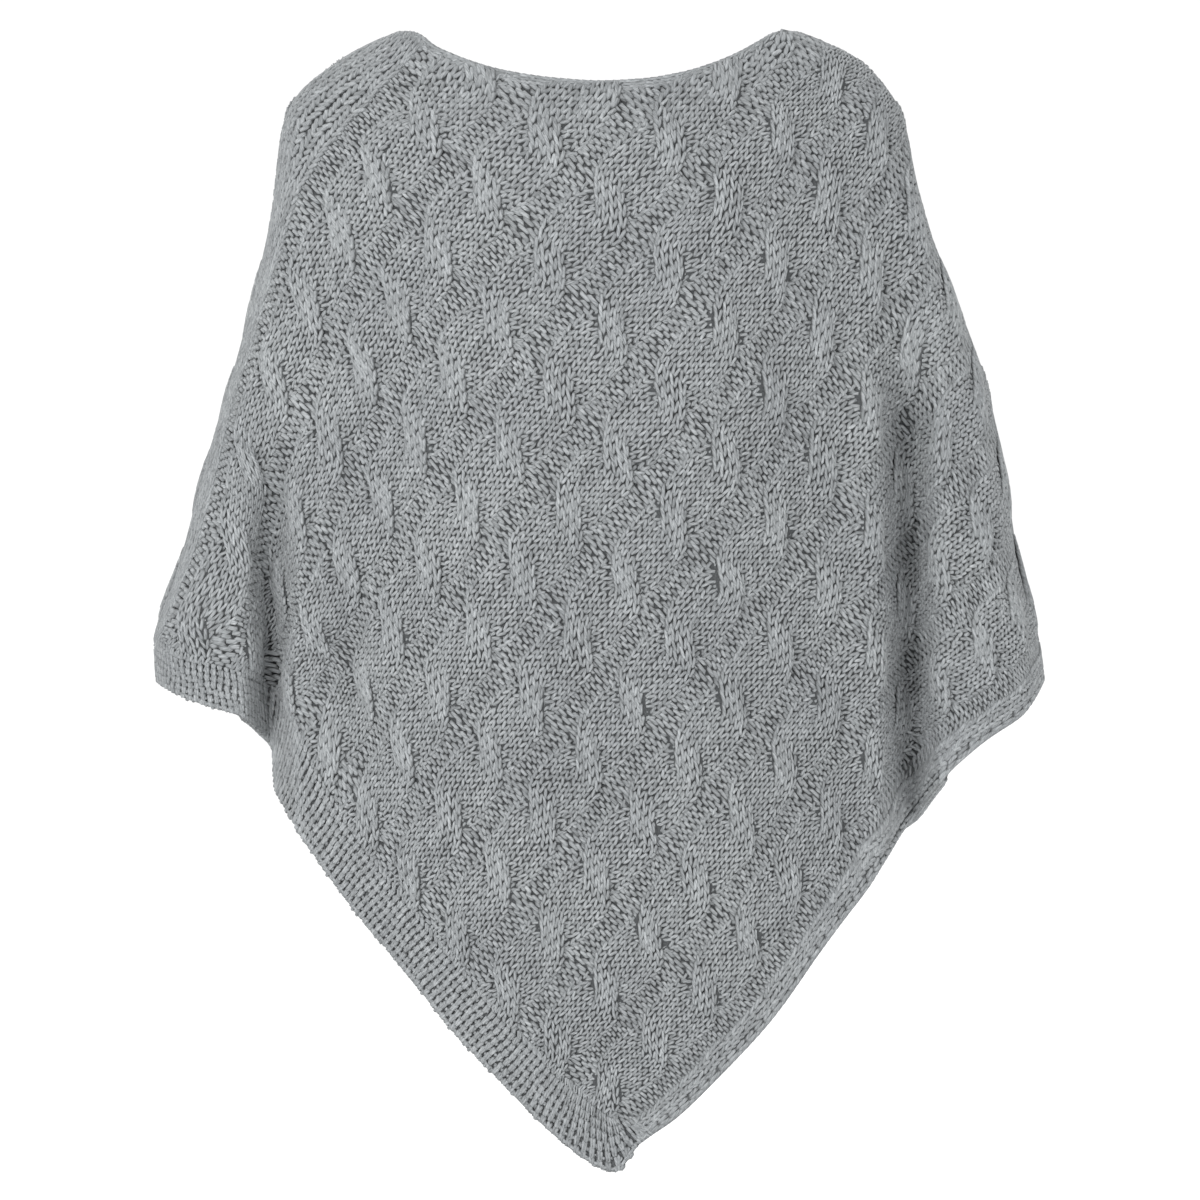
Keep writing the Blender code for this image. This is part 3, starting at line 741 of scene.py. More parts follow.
class Yarn:
    """Gathers lengths of yarn for one piece."""

    def __init__(self, ring):
        self.ring = np.array(ring, float)  # across, up, and painted shade for each point round a length, from foot to foot
        self.verts, self.faces, self.tone, self.yarn, self.count = [], [], [], [], 0

    def add(self, path, normal, half, crown, tone, step=1.0):
        """path and normal: (n, 4, 3), in mm. half and crown: (n,) or numbers. The tone of each length: (n,), its own
        random tone, times any painted shade or highlight.
        """
        n = len(path)
        if n == 0:
            return
        half, crown = np.broadcast_to(half, (n,)), np.broadcast_to(crown, (n,))
        k = len(self.ring)
        along = np.stack([path[:, 2] - path[:, 0], path[:, 3] - path[:, 1]], 1)
        side = -unit(np.cross(normal[:, 1:3], unit(along)))
        across, up, shade = self.ring.T
        ring = (
            path[:, 1:3, None]
            + side[:, :, None] * (across[:, None] * half[:, None, None, None])
            + normal[:, 1:3, None] * (up[:, None] * crown[:, None, None, None])
        )
        verts = np.concatenate([path[:, :1], ring.reshape(n, -1, 3), path[:, 3:]], 1)
        a, b, end = 1 + np.arange(k), 1 + k + np.arange(k), 1 + 2 * k
        quads, tris = [], []
        for i in range(k - 1):
            quads.append((a[i], b[i], b[i + 1], a[i + 1]))
            tris.append((0, a[i], a[i + 1]))
            tris.append((end, b[i + 1], b[i]))
        # the underside
        quads.append((a[-1], b[-1], b[0], a[0]))
        tris.append((0, a[-1], a[0]))
        tris.append((end, b[0], b[-1]))
        tri = [list(t) for t in tris]
        for q in quads:
            tri += [[q[0], q[1], q[2]], [q[0], q[2], q[3]]]
        tri = np.array(tri)
        m = verts.shape[1]
        self.faces.append((tri[None] + (self.count + m * np.arange(n))[:, None, None]).reshape(-1, 3))
        self.verts.append(verts.reshape(-1, 3))
        # painted shade: each length is darker at both ends, where it dips into the cloth, as the ring darkens its sides
        shade = np.concatenate([[0.45], shade, shade, [0.45]])
        self.tone.append((shade[None] * tone[:, None]).ravel())
        seed = rng.random(n) * 40.0
        length = np.linalg.norm(np.diff(path, axis=1), axis=2)
        mark = np.concatenate([np.zeros((n, 1)), np.cumsum(length, 1)], 1)
        run = np.concatenate([mark[:, :1], np.repeat(mark[:, 1:2], k, 1), np.repeat(mark[:, 2:3], k, 1), mark[:, 3:]], 1)
        wide = np.concatenate([[0], across, across, [0]])[None] * half[:, None]
        self.yarn.append(np.stack([run, wide, np.repeat(seed[:, None], m, 1)], -1).reshape(-1, 3))
        self.count += n * m

    def piece(self, name, material):
        verts, faces = np.concatenate(self.verts) * MM, np.concatenate(self.faces)
        mesh = bpy.data.meshes.new(name)
        mesh.vertices.add(len(verts))
        mesh.vertices.foreach_set("co", verts.astype(np.float32).ravel())
        mesh.loops.add(3 * len(faces))
        mesh.loops.foreach_set("vertex_index", faces.astype(np.int32).ravel())
        mesh.polygons.add(len(faces))
        mesh.polygons.foreach_set("loop_start", np.arange(0, 3 * len(faces), 3, dtype=np.int32))
        mesh.update(calc_edges=True)
        mesh.shade_smooth()
        # this attribute holds each length's own tone times painted shade at its sides and ends
        tone = mesh.attributes.new("tone", "FLOAT", "POINT")
        tone.data.foreach_set("value", np.concatenate(self.tone).astype(np.float32))
        yarn = mesh.attributes.new("yarn", "FLOAT_VECTOR", "POINT")
        yarn.data.foreach_set("vector", np.concatenate(self.yarn).astype(np.float32).ravel())
        mesh.materials.append(material)
        made = bpy.data.objects.new(name, mesh)
        bpy.context.scene.collection.objects.link(made)
        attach(made, "root")
        return made


# Rings round a length: across, up, and painted shade, the sides darker than the crown as if in shade.
ROUND = [(1.0, 0.0, 0.64), (0.58, 0.86, 1.0), (-0.58, 0.86, 1.0), (-1.0, 0.0, 0.64)]
KEEL = [(1.0, 0.0, 0.64), (0.0, 1.0, 1.04), (-1.0, 0.0, 0.64)]

# A leg of a knit stitch: from the stitch's foot, up and outwards.
LEG = [
    # across, in wales from the stitch's middle; up, in rows; height, mm
    (0.03, -0.46, -0.9),
    (0.13, -0.03, 0.2),
    (0.37, 0.80, 0.2),
    (0.47, 1.24, -0.9),
]
# The same in the plain band, where the legs are pulled longer.
LONG_LEG = [(0.02, -0.80, -0.8), (0.11, -0.22, 0.3), (0.37, 0.92, 0.2), (0.47, 1.46, -0.8)]
# A purl stitch's bump, and the loop between two bumps.
BUMP = [(-0.60, -0.10, -0.6), (-0.27, 0.25, 0.6), (0.27, 0.25, 0.6), (0.60, -0.10, -0.6)]
SINKER = [(-0.60, 0.10, -0.7), (-0.27, -0.24, 0.4), (0.27, -0.24, 0.4), (0.60, 0.10, -0.7)]


def tones(n, wide=0.09):
    return np.clip(1 + rng.normal(0, wide, n), 0.72, 1.25)


WAVES = [
    # stitches to a wave across and up, its phase, and how far it shifts stitches across and up
    (13.0, 31.0, 0.4, 0.10, 0.08),
    (-9.0, 12.0, 2.1, 0.08, 0.10),
    (6.1, -17.0, 4.0, 0.07, 0.05),
    (23.0, 7.3, 5.2, 0.05, 0.10),
    (4.3, 5.9, 1.3, 0.05, 0.06),
]


def lay(side, yarn, x, y, height, half, crown, tone, keep, along=True):
    """Places lengths whose points are at knit positions x, y: (n, 4), at heights above the backing's plain level.

    They are as thick as the knit is stretched: by the width of its wales when they lie along them.
    """
    n = len(x)
    loose = 0.045
    dx, dy = rng.normal(0, loose, (2, n, 1)) + 0 * x
    dx = dx + rng.normal(0, loose, (n, 1)) * np.linspace(-1, 1, 4)
    for across, up, phase, sideways, upwards in WAVES:
        turn = np.sin(2 * np.pi * (x / across + y / up) + phase)
        dx, dy = dx + sideways * turn, dy + upwards * turn
    x, y = x + dx, y + dy
    p, up, off = side.place(x, y)
    keep = keep & (off[:, 1:3].mean(1) < 0.45)
    step = (0.5, 0.0) if along else (0.0, 0.5)
    mid_x, mid_y = x[:, 1:3].mean(1), y[:, 1:3].mean(1)
    wide = side.place(mid_x + step[0], mid_y + step[1])[0] - side.place(mid_x - step[0], mid_y - step[1])[0]
    stretch = np.clip(np.linalg.norm(wide, axis=1) / (WALE if along else ROW), 0.72, 1.9)
    thick = stretch * (1 + rng.normal(0, 0.05, n))
    p, up, height = p[keep], up[keep], height[keep]
    half = (np.broadcast_to(half, keep.shape) * thick)[keep]
    crown = (np.broadcast_to(crown, keep.shape) * (0.5 + 0.5 * thick))[keep]
    yarn.add(p + up * (BASE + height)[..., None], up, half, crown, tone[keep])


def knit_stitches(side, yarn, x_from, x_to):
    """The knit wales of the panel between two gutters' middles, or in the plain strips."""
    ys = np.arange(RIB_Y, 68.0)
    for k in range(int(x_from // REPEAT), int(x_to // REPEAT)):
        middle = REPEAT * k + REPEAT / 2
        plain = middle < -40 or middle > 60
        leg, half = (np.array(LEG), 1.42) if not plain else (np.array(LONG_LEG), 1.55 if middle > 60 else 1.18)
        slots = np.arange(8.0)
        slot, y = (g.ravel() for g in np.meshgrid(slots, ys))
        for hand in (-1, 1):
            py = y[:, None] + leg[None, :, 1]
            if plain:
                px = middle - 3.5 + slot[:, None] + hand * leg[None, :, 0]
                # the selvages' plain wales
                lift = np.full_like(px, 0.3)
                keep = (px[:, 1] > LEFT_EDGE_X - 0.2) & (px[:, 1] < PLAIN_HEM_X + 3.0)
                lean = np.zeros_like(slot)
            else:
                near, which = crossing(y + 0.45)
                d = py - REPEAT * which[:, None]
                front = np.where(near < 0, slot > 3.5, slot < 3.5)
                q = slot % 4 - 1.5
                centre = np.where(front[:, None], sway(d), -sway(d))
                offset = q[:, None] + hand * leg[None, :, 0]
                u = centre + offset * SLOT * spread(d, front[:, None])
                px = middle + u
                across = offset / 2
                dome = DOME * (1 - np.clip(np.abs(u) / 4.3, 0, 1) ** 2)
                lift = np.where(front[:, None], front_height(d, across), BACK_DROP * raised(d)) + dome
                gap = np.abs(u[:, 1:3].mean(1) - sway(near)) < 2 * SLOT * spread(near, True) - 0.95
                keep = front | ~(gap & (np.abs(near) < CROSS_HALF * 0.95))
                # Stitches of a raised front strand are painted up to 5% lighter, a painted highlight where the strand
                # stands up.
                lean = np.where(front, raised(near), 0.0)
            tone = tones(len(y)) * (1 + 0.05 * lean)
            lay(side, yarn, px, py, lift + leg[None, :, 2], half, 1.9, tone, keep)


def purl_rows(side, yarn, x_from, x_to):
    """The gutters' two purl wales: bumps, with loops between them and half under the knit wales at both sides."""
    ys = np.arange(RIB_Y, 68.0)
    for k in range(int(x_from // REPEAT), int(x_to // REPEAT)):
        middle = REPEAT * k
        near, which = crossing(ys + 0.5)
        left = REPEAT / 2 - cable_edge(near) if k > -4 else np.ones(len(ys))
        right = REPEAT / 2 - cable_edge(near, False) if k < 6 else np.ones(len(ys))
        for shape, place in ((BUMP, (-0.5, 0.5)), (SINKER, (-1.06, 0.0, 1.06))):
            shape = np.array(shape)
            for f in place:
                y = ys[:, None] + 0.5 + shape[None, :, 1]
                share = f + shape[None, :, 0] * (1.3 if abs(f) > 1 else 1.0)
                wide = np.where(share < 0, left[:, None], right[:, None]) + 0.2
                x = middle + share * wide
                height = np.broadcast_to(GUTTER_DEPTH + shape[None, :, 2], x.shape)
                lay(side, yarn, x, y, height, 1.72, 1.8, tones(len(ys)), np.ones(len(ys), bool), False)


# ---------------------------------------------------------------------------------------------------------------
# Edges: the ribbed band, the plain band with its chained selvage, and the rolled neck edge.
# ---------------------------------------------------------------------------------------------------------------


class Strip:
    """A band of the grid, measured along its length and inwards from its outer edge, in mm."""

    def __init__(self, side, cols, outer_row, inner_row):
        self.side, self.outer_row, self.inner_row = side, outer_row, inner_row
        self.cols = np.arange(len(side.a))[cols]
        middle = (outer_row + inner_row) // 2
        line = side.points[middle, self.cols]
        self.run = np.concatenate([[0], np.cumsum(np.linalg.norm(np.diff(line, axis=0), axis=1))])
        wide = side.points[outer_row, self.cols] - side.points[inner_row, self.cols]
        self.width = np.linalg.norm(wide, axis=1)
        self.length = self.run[-1]

    def place(self, along, inward, share=False):
        """Points and outward directions. inward is in mm, or a share of the width."""
        col = np.interp(along, self.run, self.cols)
        wide = np.interp(along, self.run, self.width)
        part = inward if share else inward / wide
        row = self.outer_row + (self.inner_row - self.outer_row) * np.clip(part, -0.02, 1.1)
        return self.side.on_grid(row, col)

    def rim(self, along, down, out=0.0):
        """Points on the outer rim, down from the outer face, and the direction out of the edge."""
        p, n = self.place(along, np.zeros_like(along), True)
        q, _ = self.place(along, np.full_like(along, 0.12), True)
        way = unit(p - q)
        return p + n * (BASE - down)[..., None] + way * out, way


def add(yarn, p, n, height, half, crown, tone):
    yarn.add(p + n * (BASE + height)[..., None], n, half, crown, tone)


RIB_PITCH = 5.3


def rib_band(side, yarn):
    """Narrow knit ribs across the band, with purl stitches deep in the furrows between them."""
    strip = Strip(side, side.rib[1], side.low + HEM_ROWS, side.low)
    leg = np.array(LEG)
    count = int(round(strip.length / RIB_PITCH))
    pitch = strip.length / count
    number, m = (g.ravel() for g in np.meshgrid(np.arange(count), np.arange(-0.5, RIB_ROWS)))
    t = (number + 0.5) * pitch
    m = m + (0.3 * rng.uniform(-1, 1, count)[number] + rng.normal(0, 0.06, len(m))) * (5.5 - m) / 6
    lean = 0.8 * np.sin(t / 37.0 + 0.4 * m) + 0.5 * np.sin(t / 11.0 + 1.3 * m) + rng.normal(0, 0.25, len(t))
    for hand in (-1, 1):
        along = np.clip(t[:, None] + hand * (0.15 + 2.2 * leg[None, :, 0]) + lean[:, None], 1.2, strip.length - 1.2)
        share = (m[:, None] + 0.3 + leg[None, :, 1]) / RIB_ROWS
        p, n = strip.place(along, share, True)
        lift = 0.3 + 0.35 * np.sin(t / 23.0 + 0.9 * m)[:, None]
        add(yarn, p, n, lift + leg[None, :, 2], 1.42, 1.8, tones(len(t)))
    lean = rng.normal(0, 0.25, (len(t), 1)) * np.array([-1, 0, 0, 1]) * (m < 5)[:, None]
    along = t[:, None] + pitch / 2 + np.array([-1.9, -0.8, 0.8, 1.9])
    share = (m[:, None] + lean + np.array([0.3, 0.62, 0.62, 0.4])) / RIB_ROWS
    inside = (along[:, 3] < strip.length) & (m < 5.2)
    p, n = strip.place(along[inside], share[inside], True)
    height = np.broadcast_to(np.array([-0.7, 0.0, 0.0, -0.7]), share[inside].shape)
    # These purls are painted 5% darker than the ribs, painted shade deep in the furrows.
    add(yarn, p, n, height, 1.7, 1.5, tones(int(inside.sum())) * 0.95)
    rim_cord(strip, yarn, 5.3, 1.25, 0.5)


def rim_cord(strip, yarn, pitch, half, slant=0.7, rows=((1.3, None), (0.0, 0.9), (0.0, 3.2))):
    """Strands along an outer edge, each lying over the next. A row is so far inwards on the face, or down the rim."""
    count = int(strip.length / pitch)
    for number, (inward, down) in enumerate(rows):
        t = (np.arange(count) + 0.5 + 0.33 * number) * strip.length / count + rng.normal(0, 0.3, count)
        step = np.array([-1.0, -0.5, 0.5, 1.0]) * pitch
        along = np.clip(t[:, None] + step, 0, strip.length)
        turn = slant * np.array([-1.0, -0.5, 0.5, 1.0])
        dip = np.array([-0.7, 0.0, 0.0, -0.7]) + np.zeros_like(along)
        if down is None:
            p, n = strip.place(along, inward + turn + np.zeros_like(along))
            add(yarn, p, n, 0.3 + dip, half, 1.5, tones(count))
        else:
            p, way = strip.rim(along, down + turn + np.zeros_like(along), -0.5)
            yarn.add(p + way * dip[..., None], way, half, 1.4, tones(count))


def seam_cord(side, yarn, pitch=5.4, half=1.5, slant=0.7):
    """Strands over each side seam, a row of them on this side of it."""
    for col, inner in ((0, 1), (-1, -2)):
        line, inwards, up = side.points[:, col], unit(side.points[:, inner] - side.points[:, col]), side.normal[:, col]
        run = np.concatenate([[0], np.cumsum(np.linalg.norm(np.diff(line, axis=0), axis=1))])
        count = int(run[-1] / pitch)
        t = (np.arange(count) + 0.5) * run[-1] / count + rng.normal(0, 0.3, count)
        step = np.array([-1.0, -0.5, 0.5, 1.0])
        row = np.interp(np.clip(t[:, None] + step * pitch, 0, run[-1]), run, np.arange(len(run)))
        near = np.clip(row.astype(int), 0, len(run) - 2)
        part = (row - near)[..., None]
        p, way, n = (g[near] * (1 - part) + g[near + 1] * part for g in (line, inwards, up))
        p = p + way * (1.7 + slant * step[:, None])
        add(yarn, p, unit(n), np.array([-0.6, 0.3, 0.3, -0.6]) + np.zeros_like(row), half, 1.6, tones(count))


def plain_band(side, yarn):
    """The chained selvage: a link to every two rows, and strands over the rim. Its plain wales are the panel's."""
    strip = Strip(side, side.plain[1], side.low + HEM_ROWS, side.low)
    way = -1 if side.back else 1
    links = int(round(strip.length / (1.7 * ROW)))
    pitch = strip.length / links
    t = (np.arange(links) + 0.5) * pitch + rng.normal(0, 0.35, links)
    for hand in (-1, 1):
        along = np.clip(t[:, None] + way * np.array([-0.66, -0.24, 0.34, 0.80]) * pitch, 0, strip.length)
        share = 0.16 + hand * np.array([0.01, 0.05, 0.07, 0.04]) + np.zeros_like(along)
        share = share + rng.normal(0, 0.012, share.shape) * np.array([1, 0, 0, 1])
        p, n = strip.place(along, share, True)
        height = np.array([-0.5, 0.4, 0.4, -0.5]) + np.zeros_like(along)
        add(yarn, p, n, height, 1.8, 2.0, tones(links))
    rim_cord(strip, yarn, 5.8, 1.4, 0.6)
    # the ribbed band's end, which turns over on to this band at the point
    t, m = (g.ravel() for g in np.meshgrid([1.4, 4.3, 7.2, 10.1], np.arange(-0.4, 3.0)))
    along = (strip.length - t if side.back else t)[:, None] + rng.normal(0, 0.3, (len(t), 1)) + np.zeros(4)
    share = (m[:, None] + 0.2 + np.array([-0.4, 0.0, 0.85, 1.25])) / 4.4
    p, n = strip.place(along, share, True)
    add(yarn, p, n, 0.5 + np.array([-0.9, 0.2, 0.2, -0.9]) + np.zeros_like(along), 1.5, 1.9, tones(len(t)))


def neck_band(side, yarn):
    """The rolled bind-off: a cord along the rim, and two rows of strands beside it."""
    strip = Strip(side, slice(None), 0, side.top)
    rim_cord(strip, yarn, 5.4, 1.5, 0.8, ((6.6, None), (4.1, None), (1.6, None), (0.0, 0.8), (0.0, 3.4)))


# ---------------------------------------------------------------------------------------------------------------
# Backings: the thin wall of each piece, which the stitches are set in.
# ---------------------------------------------------------------------------------------------------------------


def backing(side, name, node, rows, cols, steps, materials, knitted=False, rise=0.0, fade=1.0):
    """A closed wall. Its inside is coarser than its outside by steps."""
    r, c = np.arange(rows[0], rows[1] + 1), np.arange(cols[0], cols[1] + 1)
    p, n, knit = (g[np.ix_(r, c)] for g in (side.points, side.normal, side.knit))
    high = relief(knit[..., 0], knit[..., 1]) * fade if knitted else np.full(p.shape[:2], rise)
    outer = p + n * (BASE + high)[..., None]
    jr, jc = np.arange(0, len(r), steps[0]), np.arange(0, len(c), steps[1])
    few = np.ix_(jr, jc)
    inner = (p - n * (SHELL - BASE - 0.35 * high)[..., None])[few]
    # where a fold is too tight for the coarser inside, it stands further in
    between = np.stack([np.interp(np.arange(len(r)), jr, g) for g in inner.reshape(len(jr), -1).T], 1)
    between = between.reshape(len(r), len(jc), 3)
    between = np.stack([np.interp(np.arange(len(c)), jc, g) for g in between.transpose(0, 2, 1).reshape(-1, len(jc))])
    between = between.reshape(len(r), 3, len(c)).transpose(0, 2, 1)
    short = np.clip(1.6 - ((outer - between) * n).sum(2), 0, 2.5)
    wide = np.pad(short, 2, mode="edge")
    wide = np.max([wide[i : i + len(r), j : j + len(c)] for i in range(5) for j in range(5)], axis=0)
    inner = inner - n[few] * wide[few][..., None]
    rows_n, cols_n = outer.shape[:2]
    at = np.arange(rows_n * cols_n).reshape(rows_n, cols_n)
    start = rows_n * cols_n
    under = start + np.arange(inner.shape[0] * inner.shape[1]).reshape(inner.shape[:2])

    def tiles(g, flip):
        a, b, c2, d = g[:-1, :-1].ravel(), g[1:, :-1].ravel(), g[1:, 1:].ravel(), g[:-1, 1:].ravel()
        even = (np.add.outer(np.arange(g.shape[0] - 1), np.arange(g.shape[1] - 1)).ravel() % 2).astype(bool)
        one = np.where(even[:, None], np.stack([a, b, c2], 1), np.stack([a, b, d], 1))
        two = np.where(even[:, None], np.stack([a, c2, d], 1), np.stack([b, c2, d], 1))
        both = np.concatenate([one, two])
        return both[:, ::-1] if flip else both

    faces, which = [tiles(at, side.back), tiles(under, not side.back)], []
    which = [np.zeros(len(faces[0]), int), np.ones(len(faces[1]), int)]
    rim = []
    for fine, coarse, step, turn in (
        (at[0], under[0], steps[1], 1),
        (at[-1], under[-1], steps[1], 0),
        (at[:, 0], under[:, 0], steps[0], 0),
        (at[:, -1], under[:, -1], steps[0], 1),
    ):
        for k in range(len(coarse) - 1):
            o = fine[k * step : (k + 1) * step + 1]
            half = step // 2
            strip = [(coarse[k], o[i], o[i + 1]) for i in range(half)]
            strip.append((coarse[k], o[half], coarse[k + 1]))
            strip += [(coarse[k + 1], o[i], o[i + 1]) for i in range(half, step)]
            rim += [t if turn != side.back else t[::-1] for t in strip]
    faces.append(np.array(rim))
    which.append(np.zeros(len(rim), int))
    faces, which = np.concatenate(faces), np.concatenate(which)
    verts = np.concatenate([outer.reshape(-1, 3), inner.reshape(-1, 3)]) * MM
    mesh = bpy.data.meshes.new(name)
    mesh.vertices.add(len(verts))
    mesh.vertices.foreach_set("co", verts.astype(np.float32).ravel())
    mesh.loops.add(3 * len(faces))
    mesh.loops.foreach_set("vertex_index", faces.astype(np.int32).ravel())
    mesh.polygons.add(len(faces))
    mesh.polygons.foreach_set("loop_start", np.arange(0, 3 * len(faces), 3, dtype=np.int32))
    mesh.polygons.foreach_set("material_index", which.astype(np.int32))
    mesh.update(calc_edges=True)
    mesh.shade_smooth()
    mesh.set_sharp_from_angle(angle=1.1)
    lie = mesh.attributes.new("knit", "FLOAT_VECTOR", "POINT")
    both = np.concatenate([knit.reshape(-1, 2), knit[few].reshape(-1, 2)])
    lie.data.foreach_set("vector", np.pad(both, ((0, 0), (0, 1))).astype(np.float32).ravel())
    for material in materials:
        mesh.materials.append(material)
    made = bpy.data.objects.new(name, mesh)
    bpy.context.scene.collection.objects.link(made)
    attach(made, "root")
    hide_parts(node)
    a, b, d = (verts[faces[:, i]] for i in range(3))
    area = np.linalg.norm(np.cross(b - a, d - a), axis=1).sum() / 2
    volume = (a * np.cross(b, d)).sum() / 6
    print(f"{name}: {len(faces)} triangles, half its surface {area / 2:.4f} m2, {volume * 1e6:.1f} cm3")
    return made


# ---------------------------------------------------------------------------------------------------------------
# Materials
# ---------------------------------------------------------------------------------------------------------------


def nodes_of(name):
    material = bpy.data.materials.new(name)
    material.use_nodes = True
    tree = material.node_tree
    shader = tree.nodes["Principled BSDF"]
    shader.inputs["Metallic"].default_value = 0.0
    return material, tree, shader


def math_node(tree, kind, a, b=None):
    node = tree.nodes.new("ShaderNodeMath")
    node.operation = kind
    for socket, value in zip(node.inputs, (a, b)):
        if value is None:
            continue
        if isinstance(value, (int, float)):
            socket.default_value = value
        else:
            tree.links.new(value, socket)
    return node.outputs[0]


def ramp(tree, value, stops):
    node = tree.nodes.new("ShaderNodeValToRGB")
    while len(node.color_ramp.elements) < len(stops):
        node.color_ramp.elements.new(0.5)
    for element, (at, colour) in zip(node.color_ramp.elements, stops):
        element.position, element.color = at, (*colour, 1.0)
    tree.links.new(value, node.inputs["Fac"])
    return node.outputs["Color"]


def multiply(tree, a, b):
    node = tree.nodes.new("ShaderNodeMix")
    node.data_type, node.blend_type = "RGBA", "MULTIPLY"
    node.inputs[0].default_value = 1.0
    for socket, value in ((node.inputs[6], a), (node.inputs[7], b)):
        if isinstance(value, tuple):
            socket.default_value = (*value, 1.0)
        else:
            tree.links.new(value, socket)
    return node.outputs[2]


def attribute(tree, name):
    node = tree.nodes.new("ShaderNodeAttribute")
    node.attribute_name = name
    return node


def noise(tree, vector, scale, detail=2.0, rough=0.5):
    node = tree.nodes.new("ShaderNodeTexNoise")
    node.inputs["Scale"].default_value = scale
    node.inputs["Detail"].default_value = detail
    node.inputs["Roughness"].default_value = rough
    tree.links.new(vector, node.inputs["Vector"])
    return node.outputs["Fac"]


def combine(tree, x, y, z):
    node = tree.nodes.new("ShaderNodeCombineXYZ")
    for socket, value in zip(node.inputs, (x, y, z)):
        if isinstance(value, (int, float)):
            socket.default_value = value
        else:
            tree.links.new(value, socket)
    return node.outputs[0]


def separate(tree, vector):
    node = tree.nodes.new("ShaderNodeSeparateXYZ")
    tree.links.new(vector, node.inputs[0])
    return node.outputs


YARN_DARK = (0.126, 0.134, 0.139)
YARN_MID = (0.256, 0.269, 0.276)
YARN_LIGHT = (0.402, 0.418, 0.427)


def yarn_material(name, level=1.0):
    """Soft heathered yarn: fibres of dark, middle and light grey that run along it at a slant, as they are spun."""
    material, tree, shader = nodes_of(name)
    along, across, seed = separate(tree, attribute(tree, "yarn").outputs["Vector"])
    slant = math_node(tree, "ADD", math_node(tree, "MULTIPLY", across, 1.5), math_node(tree, "MULTIPLY", along, 0.55))
    fibres = noise(tree, combine(tree, math_node(tree, "MULTIPLY", along, 0.16), slant, seed), 1.0, 3.0, 0.62)
    scaled = [tuple(level * v for v in c) for c in (YARN_DARK, YARN_MID, YARN_LIGHT)]
    colour = ramp(tree, fibres, [(0.28, scaled[0]), (0.50, scaled[1]), (0.74, scaled[2])])
    # times the tone attribute: the yarn's own random tone and the painted shade of its sides and ends
    colour = multiply(tree, colour, attribute(tree, "tone").outputs["Fac"])
    place = tree.nodes.new("ShaderNodeTexCoord").outputs["Object"]
    patch = ramp(tree, noise(tree, place, 14.0, 2.0), [(0.30, (0.93, 0.93, 0.935)), (0.70, (1.06, 1.06, 1.055))])
    tree.links.new(multiply(tree, colour, patch), shader.inputs["Base Color"])
    shader.inputs["Roughness"].default_value = 0.92
    shader.inputs["Specular IOR Level"].default_value = 0.18
    shader.inputs["Sheen Weight"].default_value = 0.1
    shader.inputs["Sheen Roughness"].default_value = 0.55
    bump = tree.nodes.new("ShaderNodeBump")
    bump.inputs["Strength"].default_value = 0.35
    bump.inputs["Distance"].default_value = 0.0005
    ply = math_node(tree, "SINE", math_node(tree, "ADD", math_node(tree, "MULTIPLY", slant, 2.6), seed))
    height = math_node(tree, "ADD", fibres, math_node(tree, "MULTIPLY", ply, 0.18))
    tree.links.new(height, bump.inputs["Height"])
    tree.links.new(bump.outputs["Normal"], shader.inputs["Normal"])
    return material


def painted_gap_shade_material(name, dark=(0.046, 0.049, 0.051), light=(0.092, 0.097, 0.100)):
    """What shows in the gaps between stitches: the same yarn in the depth of the knit, coloured far darker as painted
    shade.
    """
    material, tree, shader = nodes_of(name)
    place = tree.nodes.new("ShaderNodeTexCoord").outputs["Object"]
    fine = noise(tree, place, 900.0, 3.0, 0.6)
    tree.links.new(
        ramp(tree, fine, [(0.3, dark), (0.7, light)]), shader.inputs["Base Color"]
    )
    shader.inputs["Roughness"].default_value = 0.95
    shader.inputs["Specular IOR Level"].default_value = 0.1
    bump = tree.nodes.new("ShaderNodeBump")
    bump.inputs["Strength"].default_value = 0.6
    bump.inputs["Distance"].default_value = 0.0008
    tree.links.new(fine, bump.inputs["Height"])
    tree.links.new(bump.outputs["Normal"], shader.inputs["Normal"])
    return material


